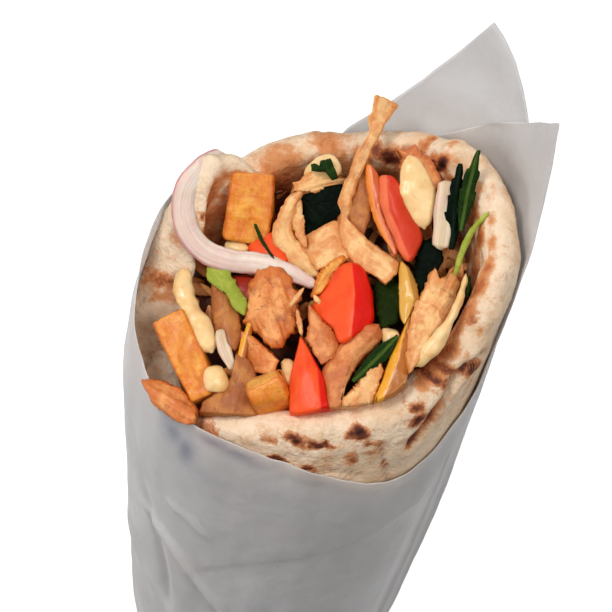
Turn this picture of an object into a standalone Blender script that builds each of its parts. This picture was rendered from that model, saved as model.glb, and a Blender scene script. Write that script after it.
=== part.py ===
"""A gyro wrap lying on its back: a rolled pita in a paper sheet, with its filling showing at the mouth.

Everything is modelled in millimetres, and scaled to metres at the end. While it is modelled, the wrap
lies along +Y, from its folded tail at y = 0 to its mouth at about y = 185, with the floor at z = 0. At
the end everything is moved so that the origin is the middle of the footprint.
"""

import math

import bmesh
import bpy
from mathutils import Matrix, Vector, noise

MM = 0.001
GAP = 0.3

# ---- The paper: half width, middle and height-to-width ratio of its section, along the wrap ----
PAPER_HALF_WIDTH = [(0, 25), (5, 24.6), (16, 23.8), (30, 25.2), (60, 29.9), (102, 35.9), (135, 39.4),
                    (150, 40), (165, 40.2), (198, 41.2), (225, 42)]
PAPER_MIDDLE = [(0, -1.5), (60, -2.6), (102, -2.8), (135, -3.5), (150, -3.1), (172, -1.6), (198, -0.6),
                (225, 0)]
PAPER_RATIO = [(0, 0.13), (4, 0.28), (16, 0.62), (34, 0.79), (60, 0.82), (225, 0.83)]
PAPER_THICK = 0.8
PAPER_COLUMNS = 44
PAPER_ROWS = (0, 3, 8, 16, 28, 45, 70, 95, 115, 127)
FLOOR_CUT = 1.2
PAPER_CORNER = 345
# Where the paper's edge is: (degrees round the section from +X towards +Z, y). One turn from the back.
PAPER_EDGE = [(245, 171), (262, 173), (280, 178), (296, 188), (312, 197), (330, 205), (345, 211.5),
              (351, 201), (358, 186), (366, 170), (376, 154), (388, 144), (398, 136.5), (410, 132),
              (428, 131.5), (450, 136), (475, 139.5), (500, 141.5), (515, 147), (530, 157), (545, 165),
              (560, 169), (580, 171), (605, 171)]
# The sheet's outer end laps over the right back and stands up as a pointed flap.
FLAP_EDGE = [(250, 150), (258, 172), (266, 183), (275, 190), (284, 198.5), (293, 208.5), (301, 217.5),
             (308, 214), (316, 208.5), (324, 200.5), (332, 189.5), (340, 164)]

FLAP_FOOT = 138
FLAP_OUT = 0.45

# ---- The pita: a sheet rolled once round, its ends lapping at the left back ----
BREAD_THICK = 8.0
BREAD_START = 233
BREAD_END = 620
BREAD_FOOT = 17
BREAD_STEPS = 50
BREAD_INSET = [(0, 2.6), (30, 2.4), (70, 1.8), (110, 1.7), (150, 2.0), (172, 2.6), (195, 3.6)]
BREAD_LAP = [(233, 9.2), (257, 9.2), (269, 7.2), (283, 3.6), (297, 1.0), (312, 0.0), (620, 0.0)]
BREAD_EDGE = [(233, 186.5), (254, 188), (263, 192.5), (272, 196), (285, 196.5), (300, 195.5), (315, 194),
              (340, 190), (360, 184), (380, 173), (395, 162), (410, 155), (430, 149), (450, 145), (475, 138.5),
              (495, 134), (515, 136), (530, 143), (545, 157), (558, 171), (575, 179.5), (593, 181.5),
              (608, 178.5), (620, 173.5)]
# The left wall bulges in from the paper near the mouth.
BREAD_WAIST = [(480, 0), (505, 2.2), (525, 3.6), (545, 2.2), (565, 0.6), (585, 0)]

# ---- How the mouth is looked into: axes across, up and out of the view, and the filling's mean surface ----
LEAN = math.radians(37)
TURN = math.radians(12)
SIGHT = 650.0
MOUTH = Vector((0, 165, 32))
OUT = Vector((0, math.sin(LEAN), math.cos(LEAN)))
_UP = Vector((0, math.cos(LEAN), -math.sin(LEAN)))
UP = _UP * math.cos(TURN) - Vector((1, 0, 0)) * math.sin(TURN)
ACROSS = Vector((1, 0, 0)) * math.cos(TURN) + _UP * math.sin(TURN)
HEAP_POINT = Vector((0, 162, 32))
HEAP_NORMAL = Vector((-0.26, 0.79, 0.55)).normalized()
HEAP_FOOT = 24
HEAP_CLEAR = 1.0

COLOURS = {
    "bread": ((0.80, 0.64, 0.42), 0.75),
    "paper": ((0.80, 0.80, 0.80), 0.6),
    "chicken": ((0.74, 0.45, 0.26), 0.5),
    "fries": ((0.83, 0.50, 0.14), 0.5),
    "tomato": ((0.70, 0.06, 0.03), 0.25),
    "onion": ((0.80, 0.66, 0.66), 0.3),
    "pepper": ((0.82, 0.42, 0.04), 0.3),
    "leaf": ((0.03, 0.10, 0.03), 0.45),
    "lettuce": ((0.35, 0.52, 0.12), 0.45),
    "sauce": ((0.86, 0.74, 0.40), 0.35),
}


# ---------------------------------------------------------------- numbers
def along(table, x):
    """The table's value at x, on straight runs between its rows."""
    if x <= table[0][0]:
        return table[0][1]
    for (x0, v0), (x1, v1) in zip(table, table[1:]):
        if x <= x1:
            return v0 + (v1 - v0) * (x - x0) / (x1 - x0)
    return table[-1][1]


def smooth_along(table, x):
    """The table's value at x, on a curve through its rows that does not overshoot."""
    if x <= table[0][0]:
        return table[0][1]
    if x >= table[-1][0]:
        return table[-1][1]
    slopes = [(b[1] - a[1]) / (b[0] - a[0]) for a, b in zip(table, table[1:])]
    ends = [slopes[0]]
    for s0, s1 in zip(slopes, slopes[1:]):
        ends.append(0.0 if s0 * s1 <= 0 else 2 * s0 * s1 / (s0 + s1))
    ends.append(slopes[-1])
    for i, ((x0, v0), (x1, v1)) in enumerate(zip(table, table[1:])):
        if x <= x1:
            h = x1 - x0
            t = (x - x0) / h
            return ((1 + 2 * t) * (1 - t) ** 2 * v0 + t * (1 - t) ** 2 * h * ends[i]
                    + t * t * (3 - 2 * t) * v1 + t * t * (t - 1) * h * ends[i + 1])
    return table[-1][1]


def spline(points, count, closed=False):
    """Points evenly spread by parameter on a Catmull-Rom curve through the given ones."""
    n = len(points)
    spans = n if closed else n - 1
    found = []
    for k in range(count):
        s = k * spans / (count if closed else count - 1)
        i = min(int(s), spans - 1)
        t = s - i
        if closed:
            p = [points[(i + j - 1) % n] for j in range(4)]
        else:
            p = [points[max(0, min(n - 1, i + j - 1))] for j in range(4)]
        found.append(0.5 * (2 * p[1] + (p[2] - p[0]) * t + (2 * p[0] - 5 * p[1] + 4 * p[2] - p[3]) * t * t
                            + (3 * p[1] - p[0] - 3 * p[2] + p[3]) * t ** 3))
    return found


# ---------------------------------------------------------------- the wrap's own sections
def paper_at(y, degrees, outward=0.0):
    """A point of the paper's outer face, or a distance outside it."""
    turn = math.radians(degrees)
    a = smooth_along(PAPER_HALF_WIDTH, y)
    b = a * smooth_along(PAPER_RATIO, y)
    x = along(PAPER_MIDDLE, y) + (a + outward) * math.cos(turn)
    z = b * (1 + math.sin(turn)) + outward * math.sin(turn) - FLOOR_CUT
    return Vector((x, y, max(z, -min(outward, 0.0))))


def bread_at(y, degrees, inward=0.0):
    """A point of the pita's outer face, or a distance inside it."""
    waist = smooth_along(BREAD_WAIST, degrees) * min(1.0, max(0.0, (y - 105) / 40))
    inward += along(BREAD_INSET, y) + smooth_along(BREAD_LAP, degrees) + waist
    return paper_at(y, degrees, -inward)


def shown(across, up, lift=0.0):
    """The point seen at (across, up) from the mouth's middle, a lift above the filling's mean surface."""
    side = across * ACROSS + up * UP
    depth = ((HEAP_POINT - MOUTH) - side).dot(HEAP_NORMAL) / OUT.dot(HEAP_NORMAL) + lift
    depth += min(10.0, 0.014 * max(0.0, up - 4) ** 2)
    return MOUTH + side * (1 - depth / SIGHT) + depth * OUT


# ---------------------------------------------------------------- meshes
def from_rings(rings, closed_rings=True, caps=True):
    """A skin over rings of points, with a flat cap on the first and the last."""
    bm = bmesh.new()
    rows = [[bm.verts.new(p) for p in ring] for ring in rings]
    for low, high in zip(rows, rows[1:]):
        n = len(low)
        for i in range(n if closed_rings else n - 1):
            j = (i + 1) % n
            bm.faces.new((low[i], low[j], high[j], high[i]))
    if caps:
        bm.faces.new(rows[0][::-1])
        bm.faces.new(rows[-1])
        bmesh.ops.triangulate(bm, faces=bm.faces[:])
    bmesh.ops.recalc_face_normals(bm, faces=bm.faces[:])
    return bm


def close_end(bm, count):
    """Closes the first ring of a skin by strips across, between its under side and its upper side."""
    bm.verts.ensure_lookup_table()
    first = bm.verts[:count]
    for i in range(count // 2):
        corners = []
        for k in (i, i + 1, count - i - 1, (count - i) % count):
            if first[k] not in corners:
                corners.append(first[k])
        if len(corners) > 2:
            bm.faces.new(corners)
    bmesh.ops.recalc_face_normals(bm, faces=bm.faces[:])


def new_object(name, bm, slot, collection):
    """Gives the mesh, still in millimetres, to a named object."""
    mesh = bpy.data.meshes.new(name)
    bm.to_mesh(mesh)
    bm.free()
    obj = bpy.data.objects.new(name, mesh)
    collection.objects.link(obj)
    mesh.materials.append(material(slot))
    return obj


def material(slot):
    found = bpy.data.materials.get(slot)
    if found:
        return found
    colour, roughness = COLOURS[slot]
    made = bpy.data.materials.new(slot)
    made.use_nodes = True
    shader = made.node_tree.nodes["Principled BSDF"]
    shader.inputs["Base Color"].default_value = (*colour, 1)
    shader.inputs["Roughness"].default_value = roughness
    shader.inputs["Metallic"].default_value = 0.0
    return made


def applied(obj, flat=0.5):
    """The object's mesh with its modifiers applied, as its only data. Neighbouring faces within the flat
    angle in degrees are joined, and the largest body is kept."""
    graph = bpy.context.evaluated_depsgraph_get()
    mesh = bpy.data.meshes.new_from_object(obj.evaluated_get(graph))
    obj.modifiers.clear()
    bm = bmesh.new()
    bm.from_mesh(mesh)
    bmesh.ops.remove_doubles(bm, verts=bm.verts[:], dist=0.004)
    bmesh.ops.dissolve_degenerate(bm, edges=bm.edges[:], dist=0.004)
    bmesh.ops.dissolve_limit(bm, angle_limit=math.radians(flat), verts=bm.verts[:], edges=bm.edges[:])
    bmesh.ops.triangulate(bm, faces=bm.faces[:])
    keep_largest(bm)
    bm.to_mesh(mesh)
    bm.free()
    obj.data = mesh
    return obj


def keep_largest(bm):
    left = set(bm.faces)
    bodies = []
    while left:
        stack = [left.pop()]
        body = list(stack)
        while stack:
            for edge in stack.pop().edges:
                for face in edge.link_faces:
                    if face in left:
                        left.discard(face)
                        stack.append(face)
                        body.append(face)
        bodies.append(body)
    bodies.sort(key=lambda body: abs(sum(f.calc_center_median().dot(f.normal) * f.calc_area() for f in body)))
    crumbs = [face for body in bodies[:-1] for face in body]
    bmesh.ops.delete(bm, geom=crumbs, context="FACES")
    bmesh.ops.delete(bm, geom=[v for v in bm.verts if not v.link_faces], context="VERTS")


def inflated(obj, cutters, by):
    """A copy of a piece, larger all round, to cut its neighbour with."""
    bm = bmesh.new()
    bm.from_mesh(obj.data)
    bm.normal_update()
    moves = [(v, v.normal * by * min(1.6, v.calc_shell_factor())) for v in bm.verts]
    for v, move in moves:
        v.co += move
    mesh = bpy.data.meshes.new(obj.name + "_room")
    bm.to_mesh(mesh)
    bm.free()
    room = bpy.data.objects.new(obj.name + "_room", mesh)
    cutters.objects.link(room)
    room.hide_render = True
    room.display_type = "WIRE"
    return room


def box_of(obj):
    points = [v.co for v in obj.data.vertices]
    return [min(p[i] for p in points) for i in range(3)], [max(p[i] for p in points) for i in range(3)]


def near(a, b):
    (a0, a1), (b0, b1) = box_of(a), box_of(b)
    return all(a0[i] <= b1[i] + GAP and b0[i] <= a1[i] + GAP for i in range(3))


def measure(mesh):
    """The volume of a mesh, or nothing if it isn't closed."""
    bm = bmesh.new()
    bm.from_mesh(mesh)
    closed = len(bm.faces) > 3 and all(len(edge.link_faces) == 2 for edge in bm.edges)
    volume = bm.calc_volume(signed=True) if closed else None
    bm.free()
    return volume


def cut(obj, neighbours, cutters, flat=4.0):
    """Takes the neighbours and a gap round them out of a piece. The solver can fail where two faces all but
    meet, so an unsound result is made again with a slightly wider gap."""
    for other in neighbours:
        if not near(obj, other):
            continue
        before = obj.data
        whole = measure(before)
        for wider in (0, 0.03, 0.07, 0.11, 0.16, 0.22):
            room = inflated(other, cutters, GAP + wider)
            modifier = obj.modifiers.new("cut", "BOOLEAN")
            modifier.operation = "DIFFERENCE"
            modifier.solver = "EXACT"
            modifier.object = room
            bpy.context.view_layer.update()
            applied(obj, flat)
            bpy.data.objects.remove(room, do_unlink=True)
            left = measure(obj.data)
            if left is not None and 0.0 < left <= whole * 1.01 + 0.3:
                break
            obj.data = before
        else:
            raise RuntimeError(f"{obj.name} could not be cut by {other.name}")


# ---------------------------------------------------------------- paper and pita
def thicken(obj, offset):
    """Gives an open skin the paper's thickness: inwards at offset -1, both ways at 0."""
    solid = obj.modifiers.new("thickness", "SOLIDIFY")
    solid.thickness = PAPER_THICK
    solid.offset = offset
    bpy.context.view_layer.update()
    applied(obj)


def make_paper(collection, cutters):
    """One cup of paper, open at the mouth, joined to the lapping end that stands up as a flap."""
    turns = [PAPER_EDGE[0][0] + 360 * k / PAPER_COLUMNS for k in range(PAPER_COLUMNS)]
    corner = min(range(PAPER_COLUMNS), key=lambda k: abs(turns[k] - PAPER_CORNER))
    turns[corner] = PAPER_CORNER
    rings = [[paper_at(y, t) for t in turns] for y in PAPER_ROWS]
    for part in (0.35, 0.7, 1.0):
        y0 = PAPER_ROWS[-1]
        rings.append([paper_at(y0 + (along(PAPER_EDGE, t) - y0) * part, t) for t in turns])
    # Each ring starts beside the tail's left corner, so that strips can close the tail across.
    start = min(range(PAPER_COLUMNS), key=lambda k: rings[0][k].x)
    bm = from_rings([ring[start:] + ring[:start] for ring in rings], caps=False)
    close_end(bm, PAPER_COLUMNS)
    paper = new_object("paper", bm, "paper", collection)
    thicken(paper, -1)

    rings = []
    for part in (0.0, 0.3, 0.55, 0.8, 1.0):
        rings.append([paper_at(FLAP_FOOT + (y - FLAP_FOOT) * part, t, FLAP_OUT) for t, y in FLAP_EDGE])
    flap = new_object("flap", from_rings(rings, closed_rings=False, caps=False), "paper", cutters)
    thicken(flap, 0)
    flap.hide_render = True
    flap.display_type = "WIRE"
    joined = paper.modifiers.new("flap", "BOOLEAN")
    joined.operation = "UNION"
    joined.solver = "EXACT"
    joined.object = flap
    bpy.context.view_layer.update()
    return applied(paper)


def make_bread(collection):
    """Each step round the roll is one closed outline of the sheet's wall; the first and last are its ends."""
    rings = []
    for k in range(BREAD_STEPS + 1):
        t = BREAD_START + (BREAD_END - BREAD_START) * k / BREAD_STEPS
        swell = 0.5 * noise.noise(Vector((t * 0.05, 3.0, 0.0)))
        shoulder = smooth_along(BREAD_EDGE, t) - BREAD_THICK / 2
        climb = shoulder - BREAD_FOOT
        ring = [bread_at(BREAD_FOOT + climb * part, t) for part in (0, 0.3, 0.6, 0.85, 1)]
        for degrees in (30, 65, 90, 115, 150):
            bend = math.radians(degrees)
            y = shoulder + (BREAD_THICK / 2 + swell) * math.sin(bend)
            ring.append(bread_at(y, t, BREAD_THICK / 2 * (1 - math.cos(bend))))
        ring += [bread_at(BREAD_FOOT + climb * part, t, BREAD_THICK) for part in (1, 0.7, 0.35, 0)]
        rings.append(ring)
    return new_object("pita", from_rings(rings), "bread", collection)


def heap_top(p, sink):
    """The point of the packed filling's uneven top over p, along the wrap, sunk by a distance."""
    y = HEAP_POINT.y + 1.6 * noise.noise(p * 0.11) - sink
    y -= ((p.x - HEAP_POINT.x) * HEAP_NORMAL.x + (p.z - HEAP_POINT.z) * HEAP_NORMAL.z) / HEAP_NORMAL.y
    return Vector((p.x, y + 0.02 * max(0.0, 24 - p.z) ** 2, p.z))


def heap_side(y, t):
    """A point of the packed filling's side, just inside the pita and clear of its lapping end."""
    inward = BREAD_THICK + HEAP_CLEAR + 8.5 * min(1.0, max(0.0, (t - 560) / 18))
    return bread_at(y, t, inward)


def make_core(collection):
    """The packed filling under what shows, up to an uneven top."""
    turns = range(240, 600, 9)
    rims = []
    for t in turns:
        p = heap_side(150, t)
        for _ in range(3):
            p = heap_side(heap_top(p, 7).y, t)
        rims.append(p)
    rings = [[heap_side(y, t) for t in turns] for y in (HEAP_FOOT, 60, 95)]
    rings.append([heap_side(95 + (p.y - 95) * 0.6, t) for p, t in zip(rims, turns)])
    rings.append(rims)
    middle = sum(rims, Vector()) / len(rims)
    for part, sink in ((0.82, 5), (0.6, 4), (0.35, 3.6), (0.12, 3.6)):
        rings.append([heap_top(middle + (p - middle) * part, sink) for p in rims])
    return new_object("filling_core", from_rings(rings), "chicken", collection)


# ---------------------------------------------------------------- pieces of filling
def sweep(path, widths, depths, face=None, power=2.4, sides=8, steps=9, blunt=0.6):
    """A piece that runs along a path of (across, up, lift) points on its top, with an oval or squarish
    section. Its widths and depths are read evenly along it, and its ends round off over blunt widths."""
    spine = spline([shown(*p) for p in path], 33)
    lengths = [0.0]
    for a, b in zip(spine, spine[1:]):
        lengths.append(lengths[-1] + (b - a).length)
    total = lengths[-1]
    def at(s):
        for i in range(len(spine) - 1):
            if s <= lengths[i + 1] or i == len(spine) - 2:
                t = (s - lengths[i]) / max(1e-6, lengths[i + 1] - lengths[i])
                return spine[i].lerp(spine[i + 1], t), (spine[i + 1] - spine[i]).normalized()
    def read(values, f):
        return along([(k / (len(values) - 1), v) for k, v in enumerate(values)], f)
    round_off = min(0.3, blunt * min(widths[0], widths[-1], *depths) / total + 0.02)
    marks = [0.0, round_off * 0.4, round_off]
    marks += [round_off + (1 - 2 * round_off) * k / steps for k in range(1, steps)]
    marks += [1 - round_off, 1 - round_off * 0.4, 1.0]
    rings = []
    for mark in marks:
        point, run = at(mark * total)
        outward = (face or OUT) - run * run.dot(face or OUT)
        outward.normalize()
        across = run.cross(outward)
        end = min(1.0, min(mark, 1 - mark) / round_off)
        shrink = 0.45 + 0.55 * math.sqrt(max(0.0, 1 - (1 - end) ** 2))
        w, d = read(widths, mark) * shrink / 2, read(depths, mark) * shrink / 2
        centre = point - outward * read(depths, mark) / 2
        ring = []
        for k in range(sides):
            turn = 2 * math.pi * (k + 0.5) / sides
            c, s = math.cos(turn), math.sin(turn)
            c = math.copysign(abs(c) ** (2 / power), c)
            s = math.copysign(abs(s) ** (2 / power), s)
            ring.append(centre + across * w * c + outward * d * s)
        rings.append(ring)
    return from_rings(rings)


def slab(outline, lift, depth, lean=(0.0, 0.0), dome=1.2, corners=14, rough=0.5, seed=0):
    """A chunk seen face on: an outline of (across, up) points, with a domed top that leans by the given
    slopes, going down into the heap by its depth."""
    flat = spline([Vector((a, u, 0)) for a, u in outline], corners, closed=True)
    middle = sum(flat, Vector()) / corners
    def ring(scale, drop):
        found = []
        for k, p in enumerate(flat):
            q = middle + (p - middle) * scale
            tip = lean[0] * (q.x - middle.x) + lean[1] * (q.y - middle.y)
            wave = rough * noise.noise(Vector((q.x * 0.35 + seed, q.y * 0.35, seed * 1.7)))
            found.append(shown(q.x, q.y, lift + tip + wave) - OUT * drop)
        return found
    rings = [ring(0.7, depth), ring(0.93, depth * 0.75), ring(1.0, depth * 0.45),
             ring(1.0, min(1.6, depth * 0.25)), ring(0.9, min(0.35, depth * 0.06)),
             ring(0.55, -dome * 0.8), ring(0.2, -dome)]
    return from_rings(rings)


PIECES = []


def piece(name, slot, bm):
    PIECES.append((name, slot, bm))


def lay_filling():
    """What shows at the mouth, nearest pieces first: each is cut by those before it."""
    # Fries, tomato and pepper standing in front.
    piece("fry_left", "fries", sweep([(-36, -7.5, 8), (-32, -16, 6.5), (-28, -25, 4)],
                                     [7.4, 7.4, 7], [7, 7, 7], power=7, steps=3, blunt=0.1))
    piece("tomato_front", "tomato", sweep([(-7.5, -12, 8.5), (-7, -20, 8.5), (-6, -30.5, 4)],
                                          [3.4, 7.4, 8.8], [5, 8, 9], power=2.2, sides=10, steps=7))
    piece("fry_front", "fries", sweep([(-16.5, -20.5, 8), (-14, -25.5, 7.5), (-12, -30.5, 5)],
                                      [8, 8.4, 8], [8, 8, 8], power=7, steps=3, blunt=0.1))
    piece("onion_ring", "onion", sweep([(-24.5, 27, 7), (-31, 24.5, 8.5), (-35, 19.5, 9), (-34.5, 12.5, 9),
                                        (-30, 5.2, 9), (-22.5, 1.6, 9), (-13, 0, 8), (-5, -1.8, 6)],
                                       [3.4, 4.6, 5.6, 5.8, 5.4, 5.2, 4.2, 2.2], [2.0] * 8,
                                       sides=8, steps=15))
    piece("tomato_middle", "tomato", sweep([(3.5, 3.4, 7), (2.6, -4.5, 9.5), (0.3, -13.5, 6.5)],
                                           [8, 11.6, 8.5], [8, 10, 8], power=2.1, sides=10, steps=7))
    piece("pepper_front", "pepper", sweep([(16.2, -7, 6), (14.2, -16, 6), (11, -26.5, 4.5)],
                                          [2.2, 5.4, 7], [2, 2.8, 3], steps=6))
    piece("chicken_long", "chicken", sweep([(2.4, 9, 4), (3.2, 19.4, 9), (6.2, 28, 12), (9.2, 34.8, 14),
                                            (10.8, 38.6, 15)],
                                           [4.6, 4.4, 3.8, 3.4, 4.8], [3.4, 3.2, 3, 2.8, 2.4], steps=11))
    piece("chicken_crescent", "chicken", sweep([(2, 22.4, 11), (-5.4, 19.8, 11.5), (-10.8, 14, 9.5),
                                                (-12.4, 8.6, 6.5), (-10.8, 4.2, 6), (-4.4, 1.2, 4)],
                                               [3, 5, 5.4, 5.4, 5, 3], [3.5] * 6, steps=11))
    piece("chicken_thick", "chicken", sweep([(9, -11, 6.5), (3.5, -15.5, 7.5), (-0.5, -22, 6)],
                                            [6, 6.6, 5.4], [6, 7, 6], steps=6))
    piece("chicken_chunk", "chicken", slab([(-16, 1.8), (-10.5, 0.5), (-7.8, -4.5), (-8.5, -10), (-11.5, -15),
                                            (-15, -14.2), (-19, -9.5), (-19.4, -4)], 7.5, 10,
                                           (0.05, 0.1), 1.6, 16, 1.0, 3))
    piece("chicken_flaked", "chicken", slab([(20.5, 2), (24.8, 2.4), (28, -0.5), (27, -6), (24, -12.5),
                                             (20, -18), (16.2, -18.5), (15.6, -11), (17.4, -4)], 6.5, 9,
                                            (-0.15, 0.0), 1.2, 16, 0.8, 5))
    piece("sauce_trail", "sauce", sweep([(28, 0.5, 5.5), (28.2, -6, 6.5), (24.8, -13.5, 6.5),
                                         (19.5, -20.5, 5)],
                                        [2, 3, 3.6, 3], [2.6, 3, 3, 2.6], power=2, steps=9))
    piece("chicken_point", "chicken", slab([(-5.8, -6), (-2.5, -9.5), (0.5, -13), (-0.8, -17.5), (-4.2, -18),
                                            (-6.4, -13)], 7, 8, (0, 0), 1.0, 12, 0.5, 7))
    piece("leaf_strip", "leaf", sweep([(13.6, -12, 6.5), (8.8, -17, 6.8), (3.8, -21.8, 6)],
                                      [1.4, 3.4, 2.2], [1.2] * 3, steps=6, sides=6))
    piece("chicken_fibrous", "chicken", slab([(9.8, -17.8), (9.8, -22), (6, -26.5), (0.5, -29.5),
                                              (-0.6, -27.5), (3.5, -22.5)], 5, 8, (0, 0.05), 0.8, 12, 0.6, 9))
    piece("pepper_olive", "pepper", sweep([(14.4, 3.6, 5.5), (16.2, -3, 6), (17, -9.5, 5)],
                                          [2, 3.8, 3], [2, 2.6, 2.4], steps=5))
    piece("chicken_slab", "chicken", sweep([(1.2, 13.6, 6), (6.4, 8, 7.5), (12.8, 2, 6)],
                                           [3.4, 6.6, 6.4], [4.5, 5.5, 5], power=2.8, steps=6))
    piece("tomato_back", "tomato", sweep([(11, 22.6, 8), (13.2, 13.5, 8.5), (16.6, 5, 5)],
                                         [6.4, 8.4, 7.4], [6, 8, 7], power=2.2, sides=10, steps=7))
    piece("sauce_petal", "sauce", sweep([(16, 27.5, 9.5), (18.5, 20, 9), (19.6, 12, 7)],
                                        [4, 7, 3], [3, 4, 3], power=2.2, steps=6))
    piece("sauce_blob", "sauce", slab([(-28, -19.5), (-24.5, -18.6), (-22.8, -21.5), (-24, -24.2),
                                       (-27.6, -23.6)], 6.8, 5, (0, 0), 1.4, 12, 0.3, 17))
    piece("chicken_left", "chicken", slab([(-41.5, -21.8), (-38, -21.8), (-33.5, -24), (-30.4, -27.4),
                                           (-31, -29.6), (-35.5, -29), (-39.6, -26)], 6.5, 7,
                                          (0, 0), 0.8, 12, 0.5, 11))
    piece("chicken_skin", "chicken", slab([(-25.4, -18), (-19.5, -17.6), (-17, -23), (-17, -29.5),
                                           (-22, -30.5), (-28.2, -29), (-27.5, -23.5)], 5.5, 7,
                                          (0, 0), 1.0, 14, 0.7, 13))
    piece("chicken_triangle", "chicken", slab([(-18.6, -11.8), (-14, -13.6), (-12, -17.5), (-14.5, -20.2),
                                               (-18.5, -18.8)], 5.5, 7, (0, 0), 0.8, 12, 0.4, 15))
    piece("sauce_left", "sauce", sweep([(-32.3, 3, 6), (-32.5, -3, 7), (-29.5, -9, 7), (-26.8, -15, 6)],
                                       [3.4, 4.4, 4.4, 3.4], [3, 3.6, 3.4, 3], power=2, steps=9))
    piece("lettuce_left", "lettuce", slab([(-27.4, 4), (-23.8, 4.4), (-22, 0), (-18.8, -4.4), (-19.6, -7.2),
                                           (-23.4, -4), (-27.2, -0.4)], 7, 3, (0, 0), 0.7, 14, 0.8, 19))
    piece("onion_sliver", "onion", sweep([(-24.8, -10.8, 6), (-24, -14.5, 6.5), (-22, -19, 5.5)],
                                         [2, 3, 1.8], [1.4] * 3, steps=5, sides=6))
    piece("pepper_strip", "pepper", sweep([(-17.8, -4.5, 5), (-19.3, -11, 5.5), (-21, -18, 5)],
                                          [1.6, 2.4, 2], [1.6] * 3, steps=5, sides=6))
    piece("chicken_brown", "chicken", slab([(-26.8, -2.5), (-22.4, -4), (-21, -8.5), (-23, -12.2),
                                            (-26, -9)], 4, 7, (0, 0), 0.8, 12, 0.5, 21))
    piece("tomato_left", "tomato", slab([(-18.6, 7.6), (-15.5, 9.6), (-11.8, 8.2), (-11, 4.2), (-14, 2.6),
                                         (-18, 4.2)], 5.5, 7, (0, 0), 1.0, 12, 0.2, 23))
    piece("tomato_low", "tomato", slab([(-22, 1), (-16.5, 0.5), (-15.5, -3), (-19.5, -4.6), (-22, -2.5)],
                                       4, 6, (0, 0), 0.8, 12, 0.2, 25))
    piece("dill_sprig", "leaf", sweep([(-17.8, 14.2, 7), (-16, 9, 8.2), (-13.4, 5, 8)],
                                      [1.0, 1.4, 1.0], [1.0] * 3, steps=5, sides=6))
    piece("sauce_dab", "sauce", slab([(-23.4, 8), (-20.4, 8.8), (-18.4, 6.8), (-20.5, 5.2), (-23.2, 6)],
                                     5, 4, (0, 0), 0.8, 10, 0.2, 27))
    piece("fry_back", "fries", sweep([(-18.4, 23.4, 10), (-19, 16.5, 9), (-20.4, 9, 6.5)],
                                     [9.4, 10.2, 10], [8, 9, 8.5], power=7, steps=3, blunt=0.1))
    piece("chicken_middle", "chicken", slab([(-6, 9), (-2, 12.6), (2, 10.4), (4, 5.4), (0.5, 2.2),
                                             (-4.6, 2.6)], 4.5, 8, (0, 0), 1.0, 14, 0.6, 29))
    piece("sauce_low", "sauce", sweep([(-11, -16.6, 4), (-9.6, -20.5, 4.5), (-10, -25.6, 3.5)],
                                      [3, 3.8, 3.2], [3] * 3, power=2, steps=6))
    piece("sauce_speck", "sauce", slab([(10.2, -10.6), (13.6, -11), (13.4, -13.6), (10.4, -13.4)],
                                       5.2, 4, (0, 0), 0.8, 10, 0.2, 31))
    piece("leaf_olive", "leaf", slab([(8.8, -0.5), (12.4, 1), (14.4, -3), (13.4, -9), (10, -10.4), (8.4, -6)],
                                     4, 3.4, (0, 0), 0.6, 14, 0.8, 33))
    piece("leaf_teal", "leaf", slab([(18.4, 8.2), (22, 9), (23.4, 4), (21, 0.6), (18, -3.6), (16.8, 1.6)],
                                    5, 3.4, (0, 0), 0.6, 12, 0.4, 36))
    piece("pepper_back", "pepper", sweep([(6.6, 24.8, 8.5), (7.8, 17, 8), (10.8, 9, 6)],
                                         [2.6, 3.6, 2.6], [2.6] * 3, steps=6))
    piece("onion_strip", "onion", sweep([(23, 21, 9), (23.2, 14, 8.5), (20.6, 7, 6)],
                                        [3.4, 5.2, 3.6], [1.8] * 3, steps=6))
    piece("leaf_blade", "leaf", sweep([(25.6, 7, 6), (26.2, 16, 9), (27, 23.5, 10.5)],
                                      [2.4, 4, 2.6], [1.2] * 3, steps=7, sides=6))
    piece("leaf_tip", "leaf", sweep([(28, 13, 9), (29.4, 20, 11), (31, 28, 12.5)],
                                    [2.2, 4.4, 1.6], [1.2] * 3, steps=7, sides=6))
    piece("stem", "leaf", sweep([(32.6, 14, 10.5), (28.6, 9, 9), (26, 1.2, 7)],
                                [1.2, 1.4, 1.2], [1.2] * 3, power=2, steps=8, sides=6))
    piece("leaf_right", "leaf", slab([(27.6, 0.4), (29.2, 1), (29.2, -3), (28.2, -4)],
                                     7, 3, (0, 0), 0.4, 10, 0.3, 37))
    piece("leaf_dark", "leaf", slab([(-7.2, 17), (-3, 19.6), (1.2, 20.4), (1.6, 14), (-2.8, 10.8),
                                     (-6.4, 12)], 8, 3.4, (0, 0.2), 0.6, 12, 0.8, 39))
    piece("leaf_top", "leaf", slab([(-5.2, 25.2), (-1.6, 26), (0.6, 26.4), (0.4, 22.8), (-4.6, 21.6)],
                                   12.5, 2.2, (0, 0), 0.5, 10, 0.6, 41))
    piece("sauce_back", "sauce", slab([(-6.8, 22.6), (-3.8, 26.6), (0, 26.8), (1.2, 23), (-3, 21.6)],
                                      11, 4, (0, 0), 0.8, 10, 0.3, 43))
    piece("chicken_back", "chicken", slab([(13.4, 28), (17.2, 30), (20, 28.4), (22.6, 24), (20, 20.5),
                                           (15.6, 24)], 8.5, 7, (0, 0), 0.8, 12, 0.6, 45))


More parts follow.
